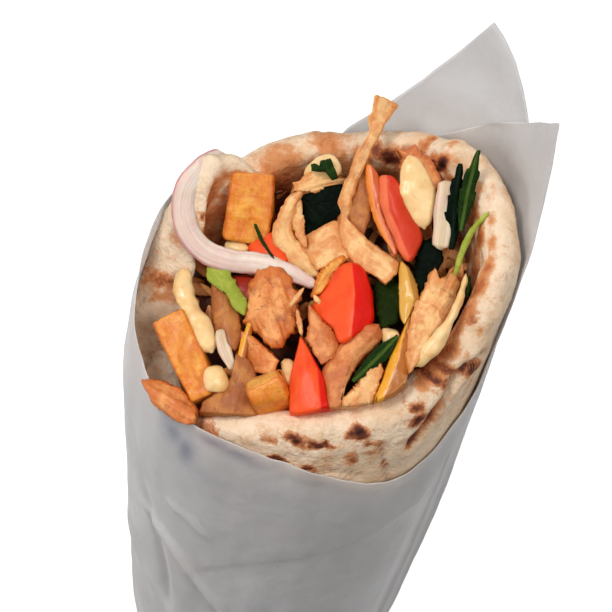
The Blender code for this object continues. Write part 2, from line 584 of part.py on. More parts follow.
# ---------------------------------------------------------------- the whole
def main():
    for obj in list(bpy.data.objects):
        bpy.data.objects.remove(obj, do_unlink=True)
    wrap = bpy.data.collections.new("gyro_wrap")
    cutters = bpy.data.collections.new("cutters")
    cutters.hide_render = True
    for collection in (wrap, cutters):
        bpy.context.scene.collection.children.link(collection)

    done = [make_bread(wrap), make_paper(wrap, cutters)]
    lay_filling()
    for name, slot, bm in PIECES:
        obj = new_object(name, bm, slot, wrap)
        cut(obj, done, cutters)
        done.append(obj)
    cut(make_core(wrap), done, cutters, 1.5)

    low, high = box_of(bpy.data.objects["paper"])
    for obj in wrap.objects:
        start, end = box_of(obj)
        low = [min(a, b) for a, b in zip(low, start)]
        high = [max(a, b) for a, b in zip(high, end)]
    shift = Matrix.Translation((-(low[0] + high[0]) / 2, -(low[1] + high[1]) / 2, -low[2]))
    shift = Matrix.Scale(MM, 4) @ shift
    for obj in wrap.objects:
        obj.data.transform(shift)
        obj.data.shade_smooth()
        obj.data.set_sharp_from_angle(angle=math.radians(38))
    for obj in list(cutters.objects):
        bpy.data.objects.remove(obj, do_unlink=True)


main()
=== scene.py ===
"""The looks of a gyro wrap: each piece remade with its real form and finish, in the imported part's frame.

Pieces are modelled in millimetres in the wrap's own frame: it lies along +Y from its folded tail at y = 0
to its mouth, and rests on its paper. settle() then moves them into the part's frame, in metres.
"""

import math
import random

import bmesh
import bpy
from mathutils import Matrix, Vector, noise


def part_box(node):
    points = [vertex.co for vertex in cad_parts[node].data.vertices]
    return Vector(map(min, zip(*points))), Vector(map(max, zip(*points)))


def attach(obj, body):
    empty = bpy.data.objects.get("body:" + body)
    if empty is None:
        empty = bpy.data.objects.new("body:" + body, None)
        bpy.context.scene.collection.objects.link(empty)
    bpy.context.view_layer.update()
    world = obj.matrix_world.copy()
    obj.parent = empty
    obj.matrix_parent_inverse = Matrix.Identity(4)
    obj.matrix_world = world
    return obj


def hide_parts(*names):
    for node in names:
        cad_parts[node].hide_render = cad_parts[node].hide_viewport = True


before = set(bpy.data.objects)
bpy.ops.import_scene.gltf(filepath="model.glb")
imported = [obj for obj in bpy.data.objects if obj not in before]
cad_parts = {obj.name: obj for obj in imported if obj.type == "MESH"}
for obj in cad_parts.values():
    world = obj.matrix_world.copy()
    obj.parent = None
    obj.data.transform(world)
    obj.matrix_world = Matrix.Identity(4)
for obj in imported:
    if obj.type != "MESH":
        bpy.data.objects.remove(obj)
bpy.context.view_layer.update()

MM = 0.001

# ---- The paper: half width, middle and height-to-width ratio of its section, along the wrap ----
PAPER_HALF_WIDTH = [(0, 25), (5, 24.6), (16, 23.8), (30, 25.2), (60, 29.9), (102, 35.9), (135, 39.4),
                    (150, 40), (165, 40.2), (198, 41.2), (225, 42)]
PAPER_MIDDLE = [(0, -1.5), (60, -2.6), (102, -2.8), (135, -3.5), (150, -3.1), (172, -1.6), (198, -0.6),
                (225, 0)]
PAPER_RATIO = [(0, 0.13), (4, 0.28), (16, 0.62), (34, 0.79), (60, 0.82), (225, 0.83)]
FLOOR_CUT = 1.2
# Where the paper's edge is: (degrees round the section from +X towards +Z, y). One turn from the back.
PAPER_EDGE = [(245, 171), (262, 173), (280, 178), (296, 188), (312, 197), (330, 205), (345, 211.5),
              (351, 201), (358, 186), (366, 170), (376, 154), (388, 145), (398, 138), (410, 134),
              (422, 134.7), (431, 136.1), (440, 137.8), (449, 139.2), (458, 140), (470, 140.5), (486, 140.7),
              (500, 141.8), (515, 147), (530, 157), (545, 165), (560, 169), (580, 171), (605, 171)]
# In degrees: where the sheet starts, its middle, and the corner that stands up beside the flap.
PAPER_START = 245
PAPER_MID = PAPER_START + 180
SHEET_CORNER = 345
FLAP_EDGE = [(250, 150), (258, 172), (266, 183), (275, 190.5), (284, 199), (293, 209), (301, 219.2),
             (306, 217), (312, 213.5), (318, 208.5), (325, 200.5), (332, 189.5), (340, 164)]
FLAP_START = 250
FLAP_SPAN = 90

# ---- The pita: a sheet rolled once round, its ends lapping at the left back ----
BREAD_THICK = 8.0
BREAD_START = 230  # degrees, like BREAD_END
BREAD_END = 608
BREAD_FOOT = 17
# How far the pita's face lies inside the paper's: along the wrap (y, millimetres), and round it, where
# its end laps under and where its left side draws in (degrees, millimetres).
BREAD_INSET = [(0, 2.6), (30, 2.4), (70, 1.8), (110, 1.7), (150, 2.0), (172, 2.6), (195, 3.6)]
BREAD_LAP = [(556, 0), (566, 0.5), (576, 2.4), (584, 4.8), (592, 6.8), (600, 8.0), (620, 8.6)]
# Where the pita's rim is: (degrees, y).
BREAD_EDGE = [(230, 177.5), (237, 180.2), (243, 181.9), (255, 184), (267, 186), (279, 188), (291, 190.1),
              (303, 192.0), (313, 192.8), (325, 192), (340, 190), (360, 184), (380, 173), (395, 162),
              (410, 155.6), (430, 150.6), (450, 147.4), (475, 141.4), (495, 134.8), (515, 136),
              (530, 143), (545, 157), (556, 171.5), (562, 178.5), (568, 181.5), (578, 180.9),
              (584, 178.4), (590, 174.6), (596, 169.5), (602, 163.5), (620, 150)]
BREAD_WAIST = [(480, 0), (505, 2.2), (525, 3.6), (545, 2.2), (565, 0.6), (585, 0)]

# ---- How the mouth is looked into, and the filling's mean surface ----
LEAN = math.radians(37)
TURN = math.radians(12)
SIGHT = 650.0
MOUTH = Vector((0, 165, 32))
OUT = Vector((0, math.sin(LEAN), math.cos(LEAN)))
UPRIGHT = Vector((0, math.cos(LEAN), -math.sin(LEAN)))
UP = UPRIGHT * math.cos(TURN) - Vector((1, 0, 0)) * math.sin(TURN)
ACROSS = Vector((1, 0, 0)) * math.cos(TURN) + UPRIGHT * math.sin(TURN)
HEAP_POINT = Vector((0, 162, 32))
HEAP_NORMAL = Vector((-0.26, 0.79, 0.55)).normalized()
MIDDLE_HEIGHT = 30

# Where the pita's rim hides the foot of the filling, as (across, up) from the mouth's middle. Near it the
# filling sinks by RIM_DROP.
FRONT_RIM = [(-30, -29.2), (-18.3, -29.8), (-7.5, -29.6), (-2.4, -28.5), (3, -27.8), (8.4, -27),
             (12.7, -25.3), (15.9, -22.7), (19.6, -18.6), (24.3, -13), (28.6, -4.8), (29.9, -1.1),
             (31.2, 4.3)]
RIM_REACH = 9
RIM_DROP = 8.5


# ---------------------------------------------------------------- numbers
def along(table, x):
    """The table's value at x, on straight runs between its rows."""
    if x <= table[0][0]:
        return table[0][1]
    for (x0, v0), (x1, v1) in zip(table, table[1:]):
        if x <= x1:
            return v0 + (v1 - v0) * (x - x0) / (x1 - x0)
    return table[-1][1]


def smooth_along(table, x):
    """The table's value at x, on a curve through its rows that does not overshoot."""
    if x <= table[0][0]:
        return table[0][1]
    if x >= table[-1][0]:
        return table[-1][1]
    slopes = [(b[1] - a[1]) / (b[0] - a[0]) for a, b in zip(table, table[1:])]
    for i, ((x0, v0), (x1, v1)) in enumerate(zip(table, table[1:])):
        if x <= x1:
            def end(j):
                if j in (0, len(slopes)):
                    return slopes[min(j, len(slopes) - 1)]
                s0, s1 = slopes[j - 1], slopes[j]
                return 0.0 if s0 * s1 <= 0 else 2 * s0 * s1 / (s0 + s1)
            h = x1 - x0
            t = (x - x0) / h
            return ((1 + 2 * t) * (1 - t) ** 2 * v0 + t * (1 - t) ** 2 * h * end(i)
                    + t * t * (3 - 2 * t) * v1 + t * t * (t - 1) * h * end(i + 1))
    return table[-1][1]


def spread(values, f):
    """The value at f from 0 to 1, read evenly along a list."""
    x = f * (len(values) - 1)
    i = min(int(x), len(values) - 2)
    return values[i] + (values[i + 1] - values[i]) * (x - i)


def ease(x, low, high):
    """0 below low, 1 above high, and a smooth run between."""
    t = min(1.0, max(0.0, (x - low) / (high - low)))
    return t * t * (3 - 2 * t)


def spline(points, count, closed=False):
    """Points evenly spread by parameter on a Catmull-Rom curve through the given ones."""
    n = len(points)
    spans = n if closed else n - 1
    found = []
    for k in range(count):
        s = k * spans / (count if closed else count - 1)
        i = min(int(s), spans - 1)
        t = s - i
        if closed:
            p = [points[(i + j - 1) % n] for j in range(4)]
        else:
            p = [points[max(0, min(n - 1, i + j - 1))] for j in range(4)]
        found.append(0.5 * (2 * p[1] + (p[2] - p[0]) * t + (2 * p[0] - 5 * p[1] + 4 * p[2] - p[3]) * t * t
                            + (3 * p[1] - p[0] - 3 * p[2] + p[3]) * t ** 3))
    return found


def wave(p, size, seed=0.0, octaves=1):
    """Smooth noise from about -1 to 1 with features of a size in millimetres."""
    q = Vector((p[0] / size + seed * 7.3, p[1] / size - seed * 3.1, p[2] / size + seed * 5.7))
    if octaves == 1:
        return noise.noise(q)
    return noise.fractal(q, 1.0, 2.1, octaves)


def polyline_gap(p, q, line):
    """The distance from (p, q) to a polyline, and how far along the polyline it is, from 0 to 1."""
    best, where = 1e9, 0.0
    for i, ((x0, y0), (x1, y1)) in enumerate(zip(line, line[1:])):
        dx, dy = x1 - x0, y1 - y0
        f = max(0.0, min(1.0, ((p - x0) * dx + (q - y0) * dy) / (dx * dx + dy * dy)))
        gap = math.hypot(p - x0 - f * dx, q - y0 - f * dy)
        if gap < best:
            best, where = gap, (i + f) / (len(line) - 1)
    return best, where


# ---------------------------------------------------------------- the wrap's own sections
def paper_at(y, degrees, outward=0.0):
    """A point of the paper's outer face, or a distance outside it."""
    turn = math.radians(degrees)
    a = smooth_along(PAPER_HALF_WIDTH, y)
    b = a * smooth_along(PAPER_RATIO, y)
    x = along(PAPER_MIDDLE, y) + (a + outward) * math.cos(turn)
    z = b * (1 + math.sin(turn)) + outward * math.sin(turn) - FLOOR_CUT
    return Vector((x, y, max(z, -min(outward, 0.0))))


def bread_at(y, degrees, inward=0.0):
    """A point of the pita's outer face, or a distance inside it."""
    waist = smooth_along(BREAD_WAIST, degrees) * min(1.0, max(0.0, (y - 105) / 40))
    inward += along(BREAD_INSET, y) + smooth_along(BREAD_LAP, degrees) + waist
    return paper_at(y, degrees, -inward)


def shown(across, up, lift=0.0):
    """The point seen at (across, up) from the mouth's middle, a lift above the filling's mean surface."""
    side = across * ACROSS + up * UP
    depth = ((HEAP_POINT - MOUTH) - side).dot(HEAP_NORMAL) / OUT.dot(HEAP_NORMAL) + lift
    # The heap rises a little towards the back.
    depth += min(5.0, 0.007 * max(0.0, up - 4) ** 2)
    if across > FRONT_RIM[0][0]:
        rise = up - along(FRONT_RIM, across)
        if rise < RIM_REACH:
            gap, _ = polyline_gap(across, up, FRONT_RIM)
            depth -= RIM_DROP * ease(math.copysign(gap, rise), 0.9, -0.7)
    return MOUTH + side * (1 - depth / SIGHT) + depth * OUT


# From the wrap's own frame to the part's: its widest left and its tail meet those of the paper's node.
PAPER_LOW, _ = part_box("paper")
WIDEST_LEFT = min(paper_at(y, 180).x for y in range(120, 170))
REST = 0.4
SHIFT = Vector((PAPER_LOW.x / MM - WIDEST_LEFT, PAPER_LOW.y / MM, REST))


# ---------------------------------------------------------------- finishes
def linear(r, g, b):
    """A colour seen on a screen, from 0 to 255, as the light it stands for."""
    return tuple((c / 255 / 12.92) if c <= 10 else ((c / 255 + 0.055) / 1.055) ** 2.4 for c in (r, g, b))


class Wire:
    """A socket in a finish's node tree: sums and products on it add Math nodes."""

    def __init__(self, tree, socket):
        self.tree = tree
        self.socket = socket

    def math(self, operation, *values):
        """A Math node on values and wires."""
        node = self.tree.nodes.new("ShaderNodeMath")
        node.operation = operation
        for value, socket in zip(values, node.inputs):
            connect(self.tree, value, socket)
        return Wire(self.tree, node.outputs[0])

    def __add__(self, other):
        return self.math("ADD", self, other)

    def __radd__(self, other):
        return self.math("ADD", other, self)

    def __sub__(self, other):
        return self.math("SUBTRACT", self, other)

    def __rsub__(self, other):
        return self.math("SUBTRACT", other, self)

    def __mul__(self, other):
        return self.math("MULTIPLY", self, other)

    def __rmul__(self, other):
        return self.math("MULTIPLY", other, self)


def connect(tree, value, socket):
    """Links a wire to a socket, or sets the socket to a value or a colour."""
    if isinstance(value, Wire):
        tree.links.new(value.socket, socket)
    elif isinstance(value, tuple) and socket.type == "RGBA":
        socket.default_value = (*value, 1.0)
    else:
        socket.default_value = value


class Finish:
    """A material with its own node tree, in millimetres on Object coordinates."""

    def __init__(self, name):
        self.material = bpy.data.materials.new(name)
        self.material.use_nodes = True
        self.tree = self.material.node_tree
        self.shader = self.tree.nodes["Principled BSDF"]
        place = self.node("ShaderNodeTexCoord", output="Object")
        self.place = self.scaled(place, (1 / MM, 1 / MM, 1 / MM))

    def node(self, kind, settings=None, sockets=None, output=0):
        """A node with its settings made first, then its sockets set or linked, and one of its outputs."""
        made = self.tree.nodes.new(kind)
        for key, value in (settings or {}).items():
            setattr(made, key, value)
        for key, value in (sockets or {}).items():
            connect(self.tree, value, made.inputs[key])
        return Wire(self.tree, made.outputs[output])

    def scaled(self, vector, by):
        """A vector with each of its parts scaled."""
        return self.node("ShaderNodeVectorMath", {"operation": "MULTIPLY"}, {0: vector, 1: by})

    def grain(self, long=1.0, thin=1.0):
        """The piece's own lengthwise, crosswise and depth coordinates, drawn out along its length."""
        own = self.node("ShaderNodeAttribute", {"attribute_name": "grain"}, output="Vector")
        return self.scaled(own, (1 / long, 1 / thin, 1 / thin))

    def mask(self, name):
        """A mark from the mesh, from 0 to 1."""
        return self.node("ShaderNodeAttribute", {"attribute_name": name}, output="Fac")

    def noise(self, size=1.0, where=None, detail=3.0, rough=0.55, warp=0.0):
        """Noise from 0 to 1, with features of a size in millimetres."""
        return self.node("ShaderNodeTexNoise", None,
                         {"Vector": where or self.place, "Scale": 1 / size, "Detail": detail,
                          "Roughness": rough, "Distortion": warp}, "Fac")

    def cell_edges(self, size, where):
        """How far a place is from the edges of a net of cells, which are of a size."""
        return self.node("ShaderNodeTexVoronoi", {"feature": "DISTANCE_TO_EDGE"},
                         {"Vector": where, "Scale": 1 / size}, "Distance")

    def step(self, value, low, high):
        """0 below low, 1 above high, and a smooth run between."""
        return self.node("ShaderNodeMapRange", {"interpolation_type": "SMOOTHSTEP"},
                         {"Value": value, "From Min": low, "From Max": high}, "Result")

    def mix(self, first, second, factor):
        """The first colour where the factor is 0, and the second where it is 1."""
        return self.node("ShaderNodeMix", {"data_type": "RGBA"}, {0: factor, 6: first, 7: second}, 2)

    def bumps(self, *layers):
        """A normal from (height from 0 to 1, depth in millimetres) layers, the broadest first."""
        normal = None
        for height, depth in layers:
            sockets = {"Height": height, "Distance": depth * MM, "Strength": 1.0}
            if normal:
                sockets["Normal"] = normal
            normal = self.node("ShaderNodeBump", None, sockets, "Normal")
        return normal

    def surface(self, colour, roughness, normal=None, **constants):
        """Sets the shader: what varies goes to its first three sockets, and the rest are constants."""
        connect(self.tree, colour, self.shader.inputs["Base Color"])
        connect(self.tree, roughness, self.shader.inputs["Roughness"])
        if normal:
            connect(self.tree, normal, self.shader.inputs["Normal"])
        for name, value in constants.items():
            socket = self.shader.inputs[name.replace("_", " ")]
            socket.default_value = value
        return self.material


def baked_bread():
    """Pale flatbread, mottled golden where it touched the griddle and charred in spots, with painted shade
    browning its inner wall, its creases and in part its rim's inner edge.
    """
    f = Finish("baked_bread")
    broad = f.noise(8, detail=4)
    mottle = f.noise(3.4, detail=5, rough=0.62)
    fine = f.noise(1.1, detail=3)
    specks = f.noise(0.5, detail=2)
    char_and_crease_shade = f.mask("char_and_crease_shade") + (f.noise(1.3, detail=6, rough=0.74, warp=0.7) - 0.5) * 0.95
    toast_and_shade = f.mask("toast_and_shade") + (f.noise(3.0, detail=6, rough=0.7, warp=0.6) - 0.5) * 1.05
    colour = f.mix(linear(240, 214, 184), linear(226, 190, 152), f.step(broad, 0.4, 0.7))
    colour = f.mix(colour, linear(214, 160, 112), f.step(mottle, 0.5, 0.72) * 0.6)
    colour = f.mix(colour, linear(250, 236, 214), f.step(fine, 0.55, 0.75) * 0.35)
    # The toast mark browns the bread where it toasted, and as painted shade on its inner wall and, in part,
    # along its rim's inner edge.
    colour = f.mix(colour, linear(208, 132, 72), f.step(toast_and_shade, 0.22, 0.6) * 0.9)
    colour = f.mix(colour, linear(168, 82, 38), f.step(toast_and_shade, 0.58, 0.95) * 0.85)
    colour = f.mix(colour, linear(112, 50, 24), f.step(toast_and_shade, 0.98, 1.3) * 0.8)
    # The char mark also darkens the fold and the small splits as painted shade.
    colour = f.mix(colour, linear(204, 130, 76), f.step(char_and_crease_shade, 0.16, 0.34) * 0.8)
    colour = f.mix(colour, linear(154, 78, 40), f.step(char_and_crease_shade, 0.32, 0.54) * 0.85)
    colour = f.mix(colour, linear(92, 40, 22), f.step(char_and_crease_shade, 0.48, 0.76))
    colour = f.mix(colour, linear(34, 14, 10), f.step(char_and_crease_shade, 0.76, 1.02))
    colour = f.mix(colour, linear(104, 48, 20), f.mask("shade"))
    return f.surface(colour, 0.74 - f.step(char_and_crease_shade, 0.5, 0.9) * 0.2,
                     f.bumps((f.noise(4.5, detail=4), 0.6), (mottle, 0.45), (fine, 0.34), (specks, 0.14)),
                     Subsurface_Weight=0.1, Subsurface_Scale=0.002, Specular_IOR_Level=0.3)


def greaseproof_paper():
    """White greaseproof paper, greyer where two layers lie on each other or the bread shows through."""
    f = Finish("greaseproof_paper")
    cloudy = f.noise(24, detail=4)
    pulp = f.noise(1.1, detail=3)
    colour = f.mix(linear(222, 218, 216), linear(206, 201, 198), f.step(cloudy, 0.35, 0.7))
    colour = f.mix(colour, linear(192, 186, 183), f.mask("layers") * 0.6)
    colour = f.mix(colour, linear(198, 176, 154), f.mask("bread_under") * 0.5)
    colour = f.mix(colour, linear(112, 116, 140), f.mask("char_under") * 0.9)
    colour = f.mix(colour, linear(222, 219, 217), f.step(pulp, 0.55, 0.8) * 0.25)
    return f.surface(colour, 0.52 + f.step(cloudy, 0.4, 0.7) * 0.1,
                     f.bumps((cloudy, 0.5), (f.noise(6, detail=4), 0.16), (pulp, 0.03)),
                     Subsurface_Weight=0.55, Subsurface_Scale=0.003, Subsurface_Radius=(1.0, 0.95, 0.9),
                     Specular_IOR_Level=0.35, Sheen_Weight=0.1)


def cooked_meat(name, light, deep, dark, seared=0.5, strands=0.3, wet=0.05):
    """Roast chicken: moist and pale within, warmer along its edges and fibres, flecked with spice."""
    f = Finish(name)
    fibre = f.noise(1.0, f.grain(9.0, 0.8), detail=4, rough=0.6, warp=0.3)
    broad = f.noise(4.5, detail=4, warp=0.4)
    blotch = f.noise(1.7, detail=5, rough=0.65)
    spice = f.noise(1.1, detail=4, rough=0.8, warp=0.5)
    sear = f.mask("sear") * 0.9 + (f.noise(3.0, detail=5, rough=0.65) - 0.5) * 0.8
    colour = f.mix(light, deep, f.step(broad * 0.7 + blotch * 0.3 + f.mask("edge") * 0.2, 0.42, 0.6))
    colour = f.mix(colour, light, f.step(blotch, 0.56, 0.74) * 0.5)
    colour = f.mix(colour, dark, f.step(fibre, 0.5, 0.74) * strands)
    colour = f.mix(colour, dark, f.step(sear, 0.5, 1.0) * 0.7)
    # Painted shade: darker low on the piece, where the depth mark is.
    colour = f.mix(colour, dark, f.mask("depth") * 0.9)
    colour = f.mix(colour, linear(158, 62, 22), f.step(spice + sear * 0.05, 0.6, 0.67) * seared)
    return f.surface(colour, 0.58 - f.step(broad, 0.4, 0.7) * 0.16,
                     f.bumps((broad, 0.3), (fibre, strands * 0.5), (blotch, 0.22), (spice, 0.1)),
                     Specular_IOR_Level=0.35, Subsurface_Weight=0.25, Subsurface_Scale=0.003,
                     Subsurface_Radius=(1.0, 0.45, 0.2), Coat_Weight=wet, Coat_Roughness=0.25)


def golden_fry():
    """A fried potato stick: golden sides streaked lengthwise, crisp brown corners and a paler cut end."""
    f = Finish("golden_fry")
    streak = f.noise(1.0, f.grain(5.0, 1.8), detail=4, rough=0.6, warp=0.5)
    patch = f.noise(3.6, detail=4, rough=0.6)
    blister = f.noise(1.0, detail=3)
    crisp = f.mask("edge") * 0.8 + (f.noise(2.2, detail=5, rough=0.7) - 0.5) * 0.9
    colour = f.mix(linear(230, 146, 42), linear(216, 114, 26), f.step(streak, 0.36, 0.66))
    colour = f.mix(colour, linear(244, 184, 80), f.step(patch, 0.5, 0.7) * 0.6)
    colour = f.mix(colour, linear(246, 194, 100), f.mask("end") * 0.6)
    colour = f.mix(colour, linear(222, 112, 30), f.step(crisp, 0.3, 0.75) * 0.75)
    colour = f.mix(colour, linear(184, 76, 20), f.step(crisp, 0.62, 1.0) * 0.85)
    colour = f.mix(colour, linear(226, 122, 36), f.step(f.noise(1.6, detail=5, rough=0.7), 0.54, 0.64) * 0.7)
    # Painted shade: darker low on the piece, where the depth mark is.
    colour = f.mix(colour, linear(176, 80, 26), f.mask("depth") * 0.7)
    return f.surface(colour, 0.46 - f.step(streak, 0.4, 0.7) * 0.12,
                     f.bumps((patch, 0.3), (streak, 0.12), (blister, 0.3), (f.noise(0.4, detail=2), 0.1)),
                     Specular_IOR_Level=0.35, Subsurface_Weight=0.3, Subsurface_Scale=0.003,
                     Subsurface_Radius=(1.0, 0.5, 0.15), Coat_Weight=0.15, Coat_Roughness=0.3)


def ripe_tomato(name, skin, flesh, low):
    """A tomato wedge: taut glossy skin on one side, wet paler flesh on the other."""
    f = Finish(name)
    veins = f.noise(1.0, f.grain(9.0, 1.8), detail=4, rough=0.6)
    cloud = f.noise(5, detail=3)
    pores = f.noise(0.6, detail=2)
    colour = f.mix(flesh, skin, f.step(f.mask("side") + (veins - 0.5) * 0.25, 0.25, 0.75))
    colour = f.mix(colour, skin, f.step(cloud, 0.45, 0.75) * 0.45)
    colour = f.mix(colour, flesh, f.step(veins, 0.54, 0.8) * 0.3)
    # Painted shade: the low colour, low on the piece where the depth mark is.
    colour = f.mix(colour, low, f.mask("depth"))
    return f.surface(colour, 0.36 + f.step(pores, 0.4, 0.7) * 0.12,
                     f.bumps((cloud, 0.3), (veins, 0.16), (pores, 0.06)),
                     Subsurface_Weight=0.25, Subsurface_Scale=0.002, Specular_IOR_Level=0.2,
                     Coat_Weight=0.04, Coat_Roughness=0.2)


def raw_onion(name, body, edge):
    """A slice of red onion: glassy ribbed layers and a purple skin along one edge."""
    f = Finish(name)
    ribs = f.noise(1.0, f.grain(22.0, 0.55), detail=3)
    cross = f.noise(1.0, f.grain(0.7, 5.0), detail=2)
    cloud = f.noise(6, detail=3)
    skin = f.mask("skin") + (f.noise(2.0, f.grain(4.0, 1.0)) - 0.5) * 0.3
    colour = f.mix(body, linear(242, 228, 214), f.step(ribs, 0.46, 0.7) * 0.6)
    colour = f.mix(colour, linear(214, 176, 168), f.step(cloud, 0.42, 0.72) * 0.55)
    colour = f.mix(colour, linear(196, 150, 140), f.step(ribs, 0.46, 0.3) * 0.4)
    colour = f.mix(colour, edge, f.step(skin, 0.72, 1.0) * 0.8)
    # Painted shade: darker low on the piece, where the depth mark is.
    colour = f.mix(colour, linear(132, 84, 70), f.mask("depth") * 0.7)
    return f.surface(colour, 0.44 + f.step(cloud, 0.4, 0.7) * 0.1,
                     f.bumps((cloud, 0.15), (ribs, 0.12), (cross, 0.08)),
                     Subsurface_Weight=0.4, Subsurface_Scale=0.003, Coat_Weight=0.1, Coat_Roughness=0.3)


def sweet_pepper(name, bright, deep):
    """A strip of sweet pepper: waxy skin over wetter flesh, with painted shade on one side of its ridge and
    low on the piece.
    """
    f = Finish(name)
    cloud = f.noise(5, detail=3)
    pores = f.noise(0.8, detail=3)
    # Painted shade: one side of the ridge takes the deeper colour.
    colour = f.mix(bright, deep, f.step(f.mask("side") + (cloud - 0.5) * 0.7, 0.3, 0.9))
    colour = f.mix(colour, deep, f.step(pores, 0.58, 0.74) * 0.4)
    # Painted shade: darker low on the piece, where the depth mark is.
    colour = f.mix(colour, linear(120, 62, 12), f.mask("depth") * 0.8)
    return f.surface(colour, 0.34 + f.step(pores, 0.4, 0.7) * 0.1, f.bumps((cloud, 0.25), (pores, 0.1)),
                     Subsurface_Weight=0.2, Subsurface_Scale=0.002, Coat_Weight=0.2, Coat_Roughness=0.2)


def green_leaf(name, blade, vein, light):
    """A herb or salad leaf: darker between its veins, with a waxy sheen."""
    f = Finish(name)
    veins = f.cell_edges(2.2, f.grain(1.5, 1.0))
    cloud = f.noise(3.5, detail=4)
    rib = 1.0 - f.step(veins, 0.01, 0.07)
    colour = f.mix(blade, light, f.step(cloud, 0.46, 0.74) * 0.7)
    colour = f.mix(colour, vein, rib * 0.1)
    colour = f.mix(colour, vein, f.mask("midrib") * 0.7)
    return f.surface(colour, 0.5 + f.step(cloud, 0.4, 0.7) * 0.14,
                     f.bumps((cloud, 0.25), (f.step(veins, 0.0, 0.12), 0.1), (f.noise(0.6), 0.05)),
                     Specular_IOR_Level=0.04)


def cream_sauce():
    """Pale yellow garlic cream: smooth, thick and glossy."""
    f = Finish("cream_sauce")
    swirl = f.noise(5, detail=3, warp=0.8)
    spice = f.noise(0.7, detail=2)
    colour = f.mix(linear(244, 206, 146), linear(232, 184, 114), f.step(swirl, 0.4, 0.72))
    colour = f.mix(colour, linear(206, 140, 70), f.step(spice, 0.66, 0.76) * 0.5)
    # Painted shade: darker low on the piece, where the depth mark is.
    colour = f.mix(colour, linear(196, 128, 62), f.mask("depth") * 0.7)
    return f.surface(colour, 0.34 + f.step(swirl, 0.4, 0.7) * 0.12,
                     f.bumps((swirl, 0.3), (f.noise(1.4, detail=2), 0.08)),
                     Subsurface_Weight=0.35, Subsurface_Scale=0.002, Coat_Weight=0.16, Coat_Roughness=0.22)


FLOOR_GLOW = 0.7


def pale_floor():
    """A plain white floor that glows a little, so that it meets the backdrop without a line."""
    f = Finish("pale_floor")
    cloud = f.noise(60, detail=2)
    colour = f.mix(linear(250, 250, 250), linear(247, 247, 247), f.step(cloud, 0.3, 0.7))
    return f.surface(colour, 0.9, None, Specular_IOR_Level=0.0, Emission_Color=(1, 1, 1, 1),
                     Emission_Strength=FLOOR_GLOW)


# ---------------------------------------------------------------- making pieces
def settle(name, bm, finish, nodes=(), sheet=0.0, smooth=0):
    """Turns a mesh in millimetres into a finished piece of the wrap, standing for its CAD nodes."""
    bm.normal_update()
    for v in bm.verts:
        v.co = (v.co + SHIFT) * MM
    mesh = bpy.data.meshes.new(name)
    bm.to_mesh(mesh)
    bm.free()
    obj = bpy.data.objects.new(name, mesh)
    bpy.context.scene.collection.objects.link(obj)
    mesh.materials.append(finish)
    mesh.shade_smooth()
    if sheet:
        solid = obj.modifiers.new("thickness", "SOLIDIFY")
        solid.thickness = sheet * MM
        solid.offset = -1.0
    if smooth:
        curve = obj.modifiers.new("smooth", "SUBSURF")
        curve.levels = smooth
        curve.render_levels = smooth
    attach(obj, "root")
    for node in nodes:
        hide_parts(node)
    return obj


def add_marks(bm, names=("edge", "end", "side", "depth", "sear")):
    """Adds a layer for each mark that a finish reads, and gives the layers by name."""
    return {name: bm.verts.layers.float.new(name) for name in names}


def block(*cuts):
    """A box from -1 to 1 with each side cut into even strips."""
    bm = bmesh.new()
    bmesh.ops.create_cube(bm, size=2)
    for axis, count in enumerate(cuts):
        edges = [e for e in bm.edges if abs(e.verts[0].co[axis] - e.verts[1].co[axis]) > 1e-6]
        bmesh.ops.subdivide_edges(bm, edges=edges, cuts=count - 1, use_grid_fill=True)
    return bm


def rounded(a, b, power):
    """A place in the square, moved to the same place in a rounded square."""
    r = max(abs(a), abs(b))
    if r < 1e-9:
        return 0.0, 0.0
    n = (abs(a / r) ** power + abs(b / r) ** power) ** (1 / power)
    return a / n, b / n


def sculpt(bm, *forms):
    """Moves each point along its normal by the sum of the forms, which take its place and its grain."""
    bm.normal_update()
    grain = bm.verts.layers.float_vector.get("grain")
    moves = []
    for v in bm.verts:
        g = v[grain] if grain else v.co
        moves.append(v.normal * sum(form(v.co, g) for form in forms))
    for v, move in zip(bm.verts, moves):
        v.co += move
    bm.normal_update()


def lumps(size, height, seed=0.0, octaves=1):
    """Smooth bumps of a size."""
    return lambda p, g: height * wave(p, size, seed, octaves)


def fibres(height, long=6.0, thin=1.0, seed=0.0):
    """Ridges that run along the grain."""
    return lambda p, g: height * wave((g[0] / long, g[1] / thin, g[2] / thin), 1.0, seed, 2)


def flakes(height, length=4.0, seed=0.0):
    """Steps across the grain, where meat has come apart in flakes."""
    def form(p, g):
        x = g[0] / length + 0.6 * wave(p, 3.0, seed)
        return height * ((x - math.floor(x)) - 0.5)
    return form


class Spine:
    """A smooth line through shown() points, read by length."""

    def __init__(self, path, turn=0.0):
        self.points = spline([shown(*p) for p in path], 80)
        self.lengths = [0.0]
        for a, b in zip(self.points, self.points[1:]):
            self.lengths.append(self.lengths[-1] + (b - a).length)
        self.total = self.lengths[-1]
        self.turn = turn

    def at(self, f):
        """The point at f, with the directions along, across and out of the piece there."""
        s = min(1.0, max(0.0, f)) * self.total
        i = 0
        while i < len(self.points) - 2 and self.lengths[i + 1] < s:
            i += 1
        t = (s - self.lengths[i]) / max(1e-6, self.lengths[i + 1] - self.lengths[i])
        point = self.points[i].lerp(self.points[i + 1], t)
        last = self.points[max(0, i - 2)]
        run = (self.points[min(len(self.points) - 1, i + 3)] - last).normalized()
        outward = (OUT - run * run.dot(OUT)).normalized()
        across = run.cross(outward)
        if self.turn:
            spin = Matrix.Rotation(self.turn * f, 3, run)
            outward, across = spin @ outward, spin @ across
        return point, run, across, outward


